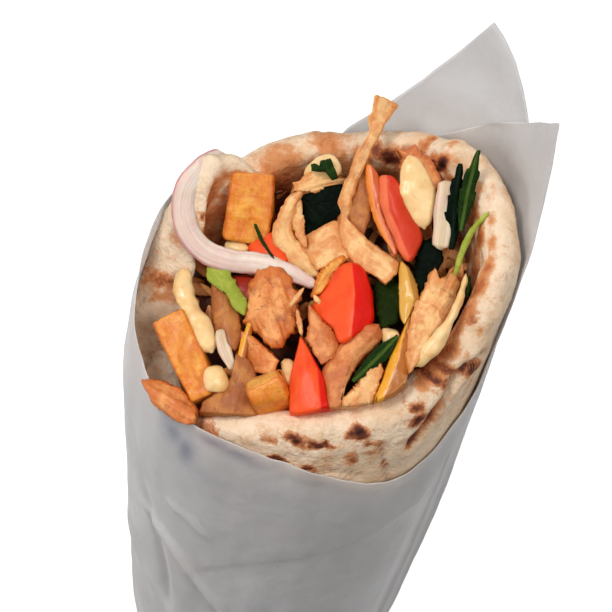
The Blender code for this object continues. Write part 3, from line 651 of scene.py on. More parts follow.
def bar(path, widths, depths, square=2.4, cuts=(40, 10, 10), ends=(0.5, 0.5), blunt=0.6, dome=0.5,
        turn=0.0, bow=0.0, ragged=0.0, seed=0.0):
    """A piece along a path of (across, up, lift) points on its top. Its section is a rounded square,
    and its ends shrink to the given share over blunt widths. It records where each point is on it."""
    bm = block(*cuts)
    spine = Spine(path, turn=turn)
    grain = bm.verts.layers.float_vector.new("grain")
    marks = add_marks(bm)
    reach = min(0.45, blunt * min(max(widths), max(depths)) / spine.total + 0.01)
    stations = {}
    for v in bm.verts:
        s, a, o = v.co
        f = (s + 1) / 2
        key = round(f, 5)
        if key not in stations:
            stations[key] = spine.at(f)
        point, run, across, outward = stations[key]
        c, d = rounded(a, o, square)
        near = max(0.0, 1 - min(f, 1 - f) / reach)
        tip = ends[0] if s < 0 else ends[1]
        scale = tip + (1 - tip) * math.sqrt(max(0.0, 1 - near * near))
        w, h = spread(widths, f), spread(depths, f)
        w *= 1 + ragged * wave((f * 9, math.copysign(2, c), seed), 1.0, seed, 2)
        r = max(abs(a), abs(o))
        place = point - outward * h / 2 + across * (c * w / 2 * scale)
        place += outward * (d * h / 2 * scale - bow * c * c)
        if near >= 1:
            place += run * (math.copysign(dome, s) * (1 - r * r))
        v.co = place
        v[grain] = Vector((f * spine.total, c * w / 2, d * h / 2))
        corner = min(abs(a), abs(o)) if near < 1 else r
        v[marks["edge"]] = corner ** 4
        v[marks["end"]] = 1.0 if near >= 1 else 0.0
        v[marks["side"]] = (c + 1) / 2
        # Painted shade: the depth mark darkens the piece towards its underside.
        v[marks["depth"]] = ease(-d, 0.0, 1.4)
    bmesh.ops.recalc_face_normals(bm, faces=bm.faces[:])
    return bm


def reach_out(polygon, middle, angle):
    """How far a polygon goes from its middle in a direction."""
    dx, dy = math.cos(angle), math.sin(angle)
    best = 0.0
    for (x0, y0), (x1, y1) in zip(polygon, polygon[1:] + polygon[:1]):
        x0, y0, x1, y1 = x0 - middle[0], y0 - middle[1], x1 - middle[0], y1 - middle[1]
        ex, ey = x1 - x0, y1 - y0
        cross = dx * ey - dy * ex
        if abs(cross) < 1e-9:
            continue
        r = (x0 * ey - y0 * ex) / cross
        f = (x0 * dy - y0 * dx) / cross
        if r > 0 and -1e-6 <= f <= 1 + 1e-6:
            best = max(best, r)
    return best


def chunk(outline, lift, depth, lean=(0.0, 0.0), dome=1.2, cuts=(28, 28, 8), torn=0.0, sharp=False,
          run=0.0, seed=0.0, shoulder=0.9, undercut=0.85, relief=None):
    """A lump seen face on: an outline of (across, up) points with a domed top, going down into the heap.
    Torn roughens its outline, run is the direction of its grain in degrees, and relief is a form on its
    face that gives (height, share of its second side) from (across, up)."""
    bm = block(*cuts)
    if sharp:
        polygon = [tuple(p) for p in outline]
    else:
        polygon = [(p.x, p.y) for p in spline([Vector((a, u, 0)) for a, u in outline], 64, closed=True)]
    middle = (sum(p[0] for p in polygon) / len(polygon), sum(p[1] for p in polygon) / len(polygon))
    grain = bm.verts.layers.float_vector.new("grain")
    marks = add_marks(bm)
    turn = math.radians(run)
    reaches = {}
    for v in bm.verts:
        a, b, z = v.co
        r = max(abs(a), abs(b))
        angle = math.atan2(b, a)
        key = round(angle, 4)
        if key not in reaches:
            ragged = torn * wave((3 * math.cos(angle), 3 * math.sin(angle), seed), 0.55, seed, 2)
            reaches[key] = max(0.3, reach_out(polygon, middle, angle) + ragged)
        down = (1 - z) / 2
        if z >= 1 - 1e-6:
            scale, drop = r * shoulder, -dome * (1 - r * r)
        elif z <= -1 + 1e-6:
            scale, drop = r * undercut, depth
        else:
            scale = 1.0 - (1 - shoulder) * max(0.0, 1 - down / 0.18) ** 2
            scale -= (1 - undercut) * max(0.0, (down - 0.4) / 0.6) ** 2
            drop = depth * down
        x = middle[0] + math.cos(angle) * reaches[key] * scale
        y = middle[1] + math.sin(angle) * reaches[key] * scale
        tip = lean[0] * (x - middle[0]) + lean[1] * (y - middle[1])
        if relief:
            height, v[marks["side"]] = relief(x, y)
            tip += height * (1 - 0.6 * down)
        v.co = shown(x, y, lift + tip) - OUT * drop
        along_grain = x * math.cos(turn) + y * math.sin(turn)
        v[grain] = Vector((along_grain, y * math.cos(turn) - x * math.sin(turn), drop))
        v[marks["edge"]] = ease(r if z >= 1 - 1e-6 else 1.0, 0.8, 1.0)
        # Painted shade: the depth mark darkens the piece down its sides into the heap.
        v[marks["depth"]] = ease(down, 0.15, 0.9)
    bmesh.ops.recalc_face_normals(bm, faces=bm.faces[:])
    return bm


def ridge(points, left, right, soft=0.8):
    """A relief with a ridge along (across, up) points from its top down, falling away on either side."""
    def form(x, y):
        line = [(-b, a) for a, b in points]
        off = x - along(line, -y)
        fall = (left if off < 0 else right) * (math.sqrt(off * off + soft * soft) - soft)
        return -fall, ease(off, -0.5 * soft, 0.5 * soft)
    return form


def sear(bm, amount, seed):
    """Marks where a piece browned on the spit."""
    layer = bm.verts.layers.float["sear"]
    for v in bm.verts:
        v[layer] = min(1.0, max(0.0, amount + 0.6 * wave(v.co, 3.0, seed, 2)))


def leaf_sheet(path, widths, cup, ripple, teeth, lobes=7, seed=0.0):
    """A thin leaf along a path: pointed at its ends, cupped along its midrib, with a toothed edge."""
    bm = bmesh.new()
    bmesh.ops.create_grid(bm, x_segments=50, y_segments=14, size=1.0)
    spine = Spine(path)
    layers = bm.verts.layers
    grain = layers.float_vector.new("grain")
    midrib = layers.float.new("midrib")
    for v in bm.verts:
        f, a = (v.co.x + 1) / 2, v.co.y
        point, run, across, outward = spine.at(f)
        w = spread(widths, f) / 2
        saw = (f * lobes) % 1.0
        w *= 1 + teeth * (saw - 0.5) * abs(a) + teeth * 0.6 * wave((f * 9, a, seed), 1.0, seed)
        lift = -cup * a * a * w + ripple * wave((f * 6, a * 1.4, seed), 1.0, seed)
        v.co = point + across * (a * w) + outward * lift
        v.co += run * (teeth * abs(a) * w * 0.5)
        v[grain] = Vector((f * spine.total, a * w * 1.5, 0))
        v[midrib] = ease(1 - abs(a) * (w + 0.2) / 0.5, 0.0, 0.6)
    bmesh.ops.recalc_face_normals(bm, faces=bm.faces[:])
    if sum(face.normal.dot(OUT) for face in bm.faces) < 0:
        bmesh.ops.reverse_faces(bm, faces=bm.faces[:])
    return bm


# ---------------------------------------------------------------- the paper
ROUND = 0.64  # millimetres for each degree round the wrap
PAPER_GAUGE = 0.22
PAPER_MARKS = ("layers", "bread_under", "char_under")
# Creases: a line of (degrees, y) points, height and width in millimetres. A minus height is a dent.
CREASES = [([(520, 104), (498, 102), (486, 98), (476, 92), (462, 82), (452, 70)], 1.3, 1.4),
           ([(528, 92), (514, 87), (500, 80), (488, 73), (474, 60), (462, 42)], 1.2, 1.6),
           ([(492, 112), (478, 110), (468, 106)], 0.5, 1.6),
           ([(506, 112), (496, 98), (490, 84), (487, 66)], -1.0, 2.4),
           ([(372, 140), (375, 120), (377, 100), (374, 70), (368, 40)], 0.55, 1.3),
           ([(384, 128), (388, 96), (386, 60)], -0.4, 4.0),
           ([(440, 60), (428, 40), (420, 20), (418, 4)], 0.7, 1.5),
           ([(466, 50), (470, 30), (476, 14), (480, 2)], -0.8, 2.0),
           ([(404, 44), (398, 24), (392, 4)], -0.6, 2.2)]
# The edge of the second layer, which shows through the first: (degrees, y).
INNER_EDGE = [(492, 84), (478, 90), (466, 98), (450, 104), (428, 110), (408, 117), (394, 123), (386, 132),
              (380, 146)]
# Smudges: degrees, y, reach round and reach along in millimetres, and strength.
UNDER_SPOTS = [(488, 134.5, 3.4, 3.6, 1.0), (482, 131.5, 2.6, 4.4, 0.9), (471, 138.5, 4.0, 1.8, 1.0),
               (464, 137.6, 4.6, 1.8, 0.95), (458, 136.4, 2.6, 1.6, 0.5), (436, 134.5, 5.0, 1.2, 0.35),
               (476, 127, 6.0, 2.4, 0.3)]


def paper_form(t, y, p):
    """How far the paper stands out from its even wrap at a place."""
    out = -0.45 + 0.42 * wave((t * ROUND / 13, y / 46, 0), 1.0, 2, 2) + 0.16 * wave(p, 7, 5, 2)
    out += 0.25 * wave((t * ROUND / 5, y / 60, 3), 1.0, 4)
    for line, height, width in CREASES:
        gap, where = polyline_gap(t * ROUND, y, [(a * ROUND, b) for a, b in line])
        if gap < width * 2.5:
            fade = min(1.0, 4 * where, 4 * (1 - where))
            out += height * fade * math.exp(-(gap / width) ** 2 * 2) * (1 if height < 0 else 1.25)
    tail = max(0.0, 1 - y / 34)
    out += 1.5 * tail ** 1.5 * wave((t * ROUND / 4.5, y / 30, 9), 1.0, 6, 2)
    return out * ease(y, 0, 5)


def inner_layer(t, y):
    """1 where a second layer of the sheet lies under the first."""
    if not 384 < t < 494:
        return 1.0 if t <= 384 else 0.0
    edge = along(INNER_EDGE[::-1], t)
    return ease(y - edge, -0.4, 0.4) * ease(t, 492, 468)


def make_paper(finish):
    """The cup of paper: one sheet wound round, open at the mouth and crimped flat at its tail."""
    bm = bmesh.new()
    bmesh.ops.create_grid(bm, x_segments=330, y_segments=150, size=1.0)
    marks = add_marks(bm, PAPER_MARKS)
    for v in bm.verts:
        t = PAPER_START + 180 * (v.co.x + 1)
        f = (v.co.y + 1) / 2
        edge = smooth_along(PAPER_EDGE, t) if abs(t - SHEET_CORNER) > 12 else along(PAPER_EDGE, t)
        edge += 0.35 * wave((t * 0.2, 0, 0), 1.0, 3) * ease(abs(t - PAPER_MID), 170, 150)
        y = edge * (1 - (1 - f) ** 1.25)
        seam = ease(abs(t - PAPER_MID), 180, 168)
        p = paper_at(y, t)
        out = paper_form(t, y, p) * seam - 0.45 * (1 - seam)
        out += 0.3 * inner_layer(t, y) * seam - 0.25
        free = edge - y
        out += 0.5 * ease(free, 5, 0) * ease(y, 120, 130)
        flap = ease(t, 275, 290) * ease(t, 366, 350) * ease(y, 168, 190)
        out += flap * (1.1 * wave((t / 22, y / 9, 4), 1.0, 8) - 0.5)
        out -= 0.5 * ease(free, 14, 1) * max(ease(t, 490, 510) * ease(t, 575, 555),
                                             ease(t, 356, 368) * ease(t, 420, 404))
        q = paper_at(y, t, out)
        if y < 6:
            squash = ease(y, 6, 0)
            q.z = q.z + (2.4 - q.z) * squash * 0.9 + 0.5 * squash * wave((t * 0.12, 1, 1), 1.0, 2)
        v.co = q
        v[marks["layers"]] = inner_layer(t, y) * 0.8
        near_bread = ease(y, 30, 90) * 0.25 * (0.5 + wave(p, 16, 12))
        v[marks["bread_under"]] = near_bread + 0.4 * ease(free, 26, 6) * ease(t, 330, 300)
        mark = 0.0
        for ct, cy, rt, ry, strength in UNDER_SPOTS:
            d = ((t - ct) * ROUND / rt) ** 2 + ((y - cy) / ry) ** 2
            mark = max(mark, strength * math.exp(-d))
        v[marks["char_under"]] = min(1.0, mark * (0.9 + 0.3 * wave(p, 4, 3)))
    bmesh.ops.remove_doubles(bm, verts=bm.verts[:], dist=0.02)
    face_out(bm)
    return settle("wrap_paper", bm, finish, ["paper"], sheet=PAPER_GAUGE)


def face_out(bm):
    """Turns an open sheet's faces away from the wrap's middle."""
    bmesh.ops.recalc_face_normals(bm, faces=bm.faces[:])
    outward = 0
    for face in bm.faces:
        centre = face.calc_center_median()
        outward += (centre - Vector((0, centre.y, MIDDLE_HEIGHT))).dot(face.normal)
    if outward <= 0:
        bmesh.ops.reverse_faces(bm, faces=bm.faces[:])


def make_flap(finish):
    """The sheet's outer end: it lies against the right back and stands up behind the bread in a point."""
    bm = bmesh.new()
    bmesh.ops.create_grid(bm, x_segments=120, y_segments=110, size=1.0)
    add_marks(bm, PAPER_MARKS)
    for v in bm.verts:
        u, f = (v.co.x + 1) / 2, (v.co.y + 1) / 2
        t = FLAP_START + FLAP_SPAN * u
        foot = 40 + 18 * (1 - u)
        edge = along(FLAP_EDGE, t)
        y = foot + (edge - foot) * f
        out = 0.25 + 0.9 * ease(y, 150, 200) * wave((t / 20, y / 10, 2), 1.0, 9) - 0.2 * ease(y, 150, 60)
        out += 0.2 * wave((t * ROUND / 12, y / 40, 0), 1.0, 7)
        v.co = paper_at(y, t, out)
    face_out(bm)
    return settle("paper_flap", bm, finish, (), sheet=PAPER_GAUGE)


# ---------------------------------------------------------------- the pita
# Browned spots: degrees, y, reach round and reach along in millimetres, strength, and which face:
# -1 outside, 1 inside, 0 both.
CHAR_SPOTS = [(446, 144.6, 3.0, 1.3, 1.15, -1), (438, 144.4, 4.0, 0.8, 0.9, -1), (476, 139, 4.2, 1.8, 0.5, 0),
              (427, 148, 2.4, 1.6, 0.95, -1), (422, 146, 2.2, 1.3, 0.55, -1), (455, 143, 3.0, 1.5, 0.45, -1),
              (428, 141, 1.8, 2.2, 0.55, -1), (422, 143, 2.0, 1.4, 0.4, -1), (451, 138, 2.2, 1.0, 0.9, -1),
              (441, 137, 1.8, 1.0, 0.85, -1), (409, 154, 2.2, 1.7, 0.75, -1), (407, 151, 2.0, 1.6, 1.0, -1),
              (386, 160, 2.2, 1.3, 1.3, -1), (400, 159, 2.6, 1.4, 0.8, 0), (396, 161, 2.6, 1.2, 0.65, 0),
              (371, 176, 1.0, 1.0, 0.95, 1), (382, 171, 2.6, 1.6, 0.5, 1), (309, 189, 2.4, 1.9, 1.25, 1),
              (304, 188, 2.6, 2.2, 0.6, 1), (284, 185, 3.4, 2.0, 0.85, 1), (278, 186, 3.0, 2.0, 0.7, 1),
              (584, 172, 2.2, 3.0, 1.25, 1), (558, 169, 1.8, 1.8, 0.95, 1), (564, 170, 1.8, 1.6, 0.9, 1),
              (542, 136, 1.2, 1.6, 0.8, -1), (543, 154, 1.8, 1.8, 0.6, -1), (470, 130, 5.0, 4.0, 0.9, -1),
              (486, 131, 3.0, 3.0, 0.9, -1), (432, 128, 5.0, 3.0, 0.6, -1), (404, 120, 6.0, 4.0, 0.7, -1),
              (414, 138, 1.4, 1.4, 0.35, -1), (493, 134.5, 2.0, 1.0, 0.6, 0)]
BLUSH_SPOTS = [(296, 192, 1.6, 5.0, 0.95, 1), (306, 193.5, 1.8, 2.0, 0.6, 1), (332, 187, 4.0, 3.6, 0.7, 1),
               (344, 184, 4.0, 3.0, 0.4, 1), (258, 184, 7.0, 3.0, 0.75, 1), (268, 180.5, 7.0, 3.4, 0.6, 1),
               (284, 180.5, 8.0, 3.4, 0.7, 1), (310, 181.5, 8.0, 3.4, 0.65, 1),
               (590, 176, 8.0, 3.0, 0.7, 1), (240, 172, 8.0, 12.0, 0.9, 1), (600, 166, 10.0, 9.0, 0.9, 1),
               (543, 154, 4.0, 2.6, 0.6, -1), (540, 151, 4.0, 2.0, 0.7, 1), (542, 143, 2.0, 3.0, 0.45, -1),
               (526, 140, 1.0, 4.0, 0.5, 0), (560, 165, 8.0, 5.0, 0.8, 1), (540, 144, 7.0, 4.0, 0.6, 1),
               (455, 144, 5.0, 1.6, 0.5, -1), (476, 138, 5.0, 2.0, 0.6, 0), (440, 141, 8.0, 5.0, 0.35, -1),
               (400, 152, 3.0, 5.0, 0.6, -1), (384, 155, 2.0, 6.0, 0.35, -1), (430, 149, 5.0, 1.2, 0.4, 1)]
# Toasting that follows the rim: degrees, millimetres over the crest towards the inside, reach round,
# reach over the crest, and strength.
RIM_TOASTS = [(340, 2.0, 4, 1.2, 0.5), (350, 2.2, 4, 1.4, 0.6), (359, 2.4, 4, 1.6, 0.7),
              (367, 2.4, 3.4, 2.0, 0.85), (374, 2.6, 3.4, 2.3, 1.05), (381, 2.4, 3.4, 2.1, 0.85),
              (387, 2.0, 3.4, 2.2, 0.8), (393, 1.4, 3.4, 2.8, 0.95), (399, 0.6, 3.2, 3.2, 0.95),
              (404, -0.8, 2.4, 2.6, 0.85), (354, -2.0, 0.8, 1.8, 0.45), (361, -0.8, 0.7, 1.8, 0.5),
              (368, -2.8, 0.8, 1.4, 0.5), (377, -1.5, 0.8, 2.0, 0.45), (384, -3.0, 1.0, 1.6, 0.55),
              (390, -3.6, 0.8, 2.2, 0.5), (286, 4.6, 9, 2.0, 0.55), (312, 4.4, 9, 2.0, 0.5),
              (268, 4.0, 8, 2.0, 0.5), (326, 3.4, 6, 1.8, 0.45), (416, 1.6, 4, 1.4, 0.5),
              (428, 2.0, 5, 1.2, 0.45), (446, 2.2, 6, 1.2, 0.4), (464, 2.2, 6, 1.2, 0.45)]
# The fold at the right, and the small splits with their depth and width: (degrees, y) points.
FOLD = [(384, 162.5), (389, 161.5), (394, 158.5), (399, 153), (404, 147.5), (408, 144)]
SPLITS = [([(419, 145), (416, 140), (411, 132)], 0.5, 0.6),
          ([(413, 145), (408, 146), (405, 144)], 0.35, 0.5),
          ([(436, 137), (430, 137.5), (424, 136)], 0.35, 0.6),
          ([(533, 146), (527, 141), (521, 136)], 0.7, 0.9),
          ([(516, 137), (506, 135), (498, 134)], 0.7, 0.9), ([(552, 162), (546, 154), (541, 146)], 0.5, 0.8)]
# How far inside the paper's face the pita lies where the paper is snug round it.
SNUG = 1.3


def spot_mask(spots, t, y, face):
    """The strongest mark of a table's spots at a place, on one face of the pita."""
    found = 0.0
    for ct, cy, rt, ry, strength, side in spots:
        dt = (t - ct) * ROUND / rt
        dy = (y - cy) / ry
        if abs(dt) > 2.4 or abs(dy) > 2.4:
            continue
        share = 1.0 if side == 0 else ease(face * side, -0.75, -0.1)
        found = max(found, strength * share * math.exp(-dt * dt - dy * dy))
    return found


def make_bread(finish):
    """One sheet of pita rolled once round: lumpy at its rim, creased on the left, folded on the right."""
    bm = block(330, 74, 10)
    marks = add_marks(bm, ("char_and_crease_shade", "toast_and_shade", "shade"))
    fold = [(a * ROUND, b) for a, b in FOLD]
    splits = [([(a * ROUND, b) for a, b in line], deep, wide) for line, deep, wide in SPLITS]
    for v in bm.verts:
        s, r, w = v.co
        f = 1 - (1 - (r + 1) / 2) ** 1.9
        t = BREAD_START + (BREAD_END - BREAD_START) * (s + 1) / 2
        cap = math.cos(w * math.pi / 2)
        across = math.sin(w * math.pi / 2) if abs(w) < 1 else w
        rim = f ** 12
        thick = BREAD_THICK * (1 + 0.1 * wave((t * 0.055, 1, 0), 1.0, 4) * f)
        thick *= 1 - 0.3 * ease(t, 546, 566) - 0.18 * ease(t, 350, 364) * ease(t, 402, 388)
        edge = smooth_along(BREAD_EDGE, t)
        edge += 0.7 * wave((t * 0.085, 0, 0), 1.0, 1, 2) + 0.3 * wave((t * 0.3, 0, 0), 1.0, 6)
        shoulder = edge - thick / 2
        y = BREAD_FOOT + (shoulder - BREAD_FOOT) * f + thick / 2 * cap * rim
        y -= 4 * cap * (1 - f) ** 12
        inward = thick / 2 * (1 + across)
        t += 3.0 * cap * math.copysign(abs(s) ** 60, s)
        band = ease(y, 100, 130)
        inward += band * (0.5 * wave((t * ROUND / 16, y / 16, 0), 1.0, 3, 2)) + 0.1
        below = edge - y
        place = (t * ROUND, y)
        gap, where = polyline_gap(*place, fold)
        dent = math.exp(-(gap / 1.1) ** 2) * ease(across, 0.55, -0.1) * min(1.0, 5 * (1 - where) + 0.25)
        lip = math.exp(-((gap - 2.6) / 1.8) ** 2) * ease(across, 0.4, -0.4)
        inward += 2.0 * dent - 0.55 * lip
        # Painted shade in the fold and the small splits: it darkens the shade mark, and at half strength the
        # char mark.
        dark = 0.75 * math.exp(-(gap / 0.75) ** 2) * ease(across, 0.3, -0.3) * ease(where, 1.02, 0.8)
        for line, deep, wide in splits:
            if abs(place[0] - line[0][0]) < 14:
                cut, along_cut = polyline_gap(*place, line)
                inward += deep * math.exp(-(cut / wide) ** 2) * ease(across, 0.8, -0.2)
                dark = max(dark, 0.5 * math.exp(-(cut / (wide * 0.6)) ** 2) * ease(across, 0.6, -0.2))
        over = w * math.pi / 4 * thick + (below - thick / 2 if w > 0.999 else 0)
        toast = max(strength * math.exp(-((t - ct) * ROUND / rt) ** 2 - ((over - co) / ro) ** 2)
                    for ct, co, rt, ro, strength in RIM_TOASTS) if below < 8 else 0.0
        left = ease(t, 494, 508) * ease(t, 562, 546) * ease(y, 105, 125)
        inward += left * 1.3 * wave((t * ROUND / 3.0, y / 7, w * 1.5), 1.0, 14, 2)
        inset = along(BREAD_INSET, y) + smooth_along(BREAD_WAIST, t) * min(1.0, max(0.0, (y - 105) / 40))
        snug = max(ease(t, 342, 356) * ease(t, 470, 440), ease(t, 486, 500) * ease(t, 572, 556))
        snug *= ease(below, 1.0, 7) * ease(across, 0.7, -0.9) * ease(y, 95, 115)
        inward -= (inset - SNUG) * snug
        inward -= 2.2 * ease(t, 500, 515) * ease(t, 560, 548) * ease(across, 0.5, -0.4) * ease(y, 95, 115)
        inward += 1.2 * ease(t, 425, 440) * ease(t, 486, 474) * ease(across, 0.0, 1.0)
        covered = ease(smooth_along(PAPER_EDGE, t) - y, -3.0, 0.5)
        inward = max(inward, (SNUG - inset + max(0.0, across + 0.9) * 2) * covered + inward * (1 - covered))
        v.co = bread_at(y, t, inward)
        wide, tall = t + 2.6 * wave(v.co, 2.8, 31, 2), y + 1.1 * wave(v.co, 2.8, 37, 2)
        spots = min(1.3, spot_mask(CHAR_SPOTS, wide, tall, across) + 0.5 * dark)
        burnt = math.exp(-(gap / 1.2) ** 2) * ease(across, 0.4, -0.3) * ease(where, 0.45, 0.7)
        v[marks["char_and_crease_shade"]] = min(1.3, max(spots, 1.15 * burnt * (0.8 + 0.5 * wave(v.co, 2.5, 21))))
        # Painted shade: the inner wall browns deeper down, and the rim's inner edge browns, partly as real
        # toasting and partly as painted shade. Both are mostly left off the left wall, and the deeper shade
        # mark is left off where the wall is lit.
        inner_wall_shade = ease(across, 0.4, 0.95) * ease(below, 3, 12)
        margin_toast_and_shade = ease(across, -0.4, 0.6) * ease(below, 0.1, 4) * (0.6 + 0.9 * wave(v.co, 4, 17, 2))
        lit = ease(t, 486, 500) * ease(t, 596, 584)
        pale = ease(t, 486, 500) * ease(t, 562, 550)
        warm = spot_mask(BLUSH_SPOTS, wide, tall, across) + 0.3 * inner_wall_shade * (1 - pale)
        v[marks["toast_and_shade"]] = min(1.2, max(toast, warm, 0.85 * margin_toast_and_shade * (1 - 0.9 * pale)))
        hollow = (0.6 - 0.6 * lit) * ease(across, 0.2, 0.9) * ease(below, 5, 14)
        v[marks["shade"]] = min(0.9, max(dark * 0.7, hollow))
    bmesh.ops.recalc_face_normals(bm, faces=bm.faces[:])
    sculpt(bm, lumps(3.6, 0.28, 1, 2), lumps(1.5, 0.1, 2, 2))
    return settle("rolled_pita", bm, finish, ["pita"])


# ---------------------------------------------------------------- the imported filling
CORE_FOOT = 26
CORE_LENGTH = 118
CORE_SINK = 6.5
SHREDS = 150
SHRED_SEED = 7
SHRED_REACH = (31, 27)
SHRED_MIDDLE = (-2, -1)


def heap_top(x, z):
    """How far along the wrap the core's top is, under the filling's mean surface."""
    y = HEAP_POINT.y - CORE_SINK
    y -= ((x - HEAP_POINT.x) * HEAP_NORMAL.x + (z - HEAP_POINT.z) * HEAP_NORMAL.z) / HEAP_NORMAL.y
    return y + 0.02 * max(0.0, 24 - z) ** 2


def make_core(finish):
    """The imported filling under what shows: its sides follow the pita, and its top is a bed of torn meat."""
    def place(y, t, inward, share):
        middle = Vector((along(PAPER_MIDDLE, y), y, MIDDLE_HEIGHT))
        return middle.lerp(bread_at(y, t, inward), share)

    bm = block(56, 40, 56)
    grain = bm.verts.layers.float_vector.new("grain")
    marks = add_marks(bm)
    for v in bm.verts:
        a, b, c = v.co
        r = max(abs(a), abs(c))
        t = math.degrees(math.atan2(c, a)) % 360
        if t < 240:
            t += 360
        inward = BREAD_THICK + 1.4 + 9.8 * ease(t, 290, 262)
        f = (b + 1) / 2
        first = place(CORE_FOOT + CORE_LENGTH * f, t, inward, r)
        y = CORE_FOOT + (heap_top(first.x, first.z) - CORE_FOOT) * f
        q = place(y, t, inward, r)
        q.y = y
        v.co = q
        v[grain] = Vector((q.x * 0.8 + q.z * 0.6, q.z * 0.8 - q.x * 0.6, q.y))
        v[marks["sear"]] = 0.75
    bmesh.ops.recalc_face_normals(bm, faces=bm.faces[:])
    sculpt(bm, lambda p, g: (1.6 * wave(p, 5.0, 8, 2)) * ease(p.y, 120, 140))
    return settle("packed_filling", bm, finish, ["filling_core"])


def make_shreds(finish):
    """Small torn shreds of meat that fill the hollows between the larger pieces."""
    dice = random.Random(SHRED_SEED)
    whole = bmesh.new()
    grain = whole.verts.layers.float_vector.new("grain")
    marks = add_marks(whole)
    for _ in range(SHREDS):
        turn = dice.uniform(0, 2 * math.pi)
        far = math.sqrt(dice.random())
        x = SHRED_REACH[0] * far * math.cos(turn) + SHRED_MIDDLE[0]
        up = SHRED_REACH[1] * far * math.sin(turn) + SHRED_MIDDLE[1]
        start = len(whole.verts)
        made = bmesh.ops.create_cube(whole, size=2)["verts"]
        edges = list({e for v in made for e in v.link_edges})
        bmesh.ops.subdivide_edges(whole, edges=edges, cuts=2, use_grid_fill=True)
        whole.verts.ensure_lookup_table()
        long, thick = dice.uniform(2.4, 5.0), dice.uniform(0.7, 1.5)
        lean, way = dice.uniform(-0.5, 0.5), dice.uniform(0, math.pi)
        seed = dice.uniform(0, 50)
        sink = dice.uniform(0.5, 3.5)
        run = (ACROSS * math.cos(way) + UP * math.sin(way) + OUT * lean).normalized()
        side = run.cross(OUT).normalized()
        up_way = side.cross(run)
        centre = shown(x, up, 0) - OUT * sink
        for v in whole.verts[start:]:
            p = v.co.copy()
            n = (abs(p.x) ** 3 + abs(p.y) ** 3 + abs(p.z) ** 3) ** (1 / 3)
            p /= n
            width = thick * (1.2 - 0.5 * abs(p.x) + 0.3 * wave((p.x * 2, seed, 0), 1.0))
            v.co = centre + run * (p.x * long) + side * (p.y * width) + up_way * (p.z * width * 0.6)
            v.co += OUT * (0.6 * wave((p.x, p.y, seed), 0.8))
            v[grain] = Vector((p.x * long, p.y * width, p.z * width))
            v[marks["sear"]] = 0.2 + 0.5 * noise.noise(Vector((seed, 0, 0)))
    bmesh.ops.recalc_face_normals(whole, faces=whole.faces[:])
    return settle("torn_shreds", whole, finish, ["filling_core"], smooth=1)


# ---------------------------------------------------------------- the pieces that show
PEPPER_DEPTH = 4
LEAF_GAUGE = 0.4


def lay_fries(finish):
    """Three square-cut fries."""
    def fry(node, *args, **kw):
        bm = bar(*args, square=9, dome=0.35, **kw)
        sculpt(bm, lumps(6, 0.35, len(node), 2), lumps(2.2, 0.16, 5, 2), lumps(1.0, 0.07, 3, 2))
        settle(node + "_stick", bm, finish, [node])
    fry("fry_left", [(-36, -7.5, 8), (-32, -16, 6.5), (-28, -25, 4)], [7.6, 7.4, 7], [7, 7, 7],
        ends=(0.95, 0.9), blunt=0.1, cuts=(60, 18, 14))
    fry("fry_front", [(-15.4, -22.4, 10.6), (-13.6, -26.4, 7), (-11.8, -31, 2)], [8, 8.6, 8.4],
        [7.4, 7.6, 7.6], ends=(0.9, 0.9), blunt=0.12, cuts=(40, 20, 16))
    fry("fry_back", [(-17.6, 22.8, 10.6), (-18.2, 15.8, 9.2), (-19.4, 8, 6.5)], [9.4, 10.2, 10],
        [8, 9, 8.5], ends=(0.93, 0.9), blunt=0.1, cuts=(50, 24, 16))


def lay_tomatoes(finish, deep_finish, pink_finish):
    """Three wedges, each with a ridge between its skin and its flesh, and two small pieces."""
    def wedge(node, finish, outline, lift, depth, line, falls, lean, run, dome=0.8, soft=0.8):
        bm = chunk(outline, lift, depth, lean, dome, (48, 48, 12), run=run, seed=len(node), shoulder=0.93,
                   undercut=0.8, relief=ridge(line, *falls, soft))
        sculpt(bm, lumps(6, 0.3, len(node), 2), lumps(2.0, 0.05, 2))
        settle(node + "_wedge", bm, finish, [node])
    wedge("tomato_middle", finish,
          [(3.4, 3.8), (6.2, 2.6), (7.6, -0.9), (8.2, -4.7), (8, -9.5), (5.4, -11.5), (1.3, -13.6),
           (-0.6, -10.4), (-3.2, -8.2), (-4.8, -5.8), (-3.2, -3.0), (-1.3, 0.4), (0.6, 2.7)], 9.6, 9,
          [(3.6, 4), (4.3, -3), (3.4, -14)], (0.42, 0.8), (0.0, -0.02), 95)
    wedge("tomato_front", finish,
          [(-7.3, -12.3), (-5.6, -14.8), (-4.1, -17.4), (-2.6, -20.6), (-1.9, -24.1), (-1.2, -31),
           (-9.2, -31.5), (-9.8, -24.7), (-9.5, -21.1), (-8.7, -16.8), (-7.9, -13.6)], 7.6, 9,
          [(-6.8, -12), (-3.8, -19), (-2.6, -32)], (0.15, 0.4), (0.0, 0.06), 85, soft=2.2)
    wedge("tomato_back", pink_finish,
          [(9.7, 22.4), (12.3, 22.4), (14.4, 20.2), (15.2, 17.2), (16.6, 14.2), (18.3, 11.2), (18.9, 9),
           (18.3, 6.9), (16.1, 3.9), (13.6, 6.0), (11.4, 9.9), (10.0, 13.3), (9.0, 16.8), (9.2, 20.2)],
          8.8, 8, [(11, 23), (11.6, 15), (16, 5)], (0.5, 0.45), (0.0, 0.1), 115, 1.6, 2.2)

    def lump(node, outline, lift, depth, finish):
        bm = chunk(outline, lift, depth, dome=1.0, cuts=(20, 20, 8), seed=len(node))
        sculpt(bm, lumps(3, 0.3, 4))
        settle(node + "_piece", bm, finish, [node])
    lump("tomato_left",
         [(-18.6, 7.6), (-16.5, 9.8), (-12.6, 10.2), (-10.6, 8.2), (-10.4, 3.6), (-14, 1.8), (-18, 4.2)],
         6.0, 7, finish)
    lump("tomato_low", [(-23, 0.5), (-16.5, 0.5), (-14.5, -3), (-18.5, -7), (-22, -4.5)], 4.5, 6, deep_finish)


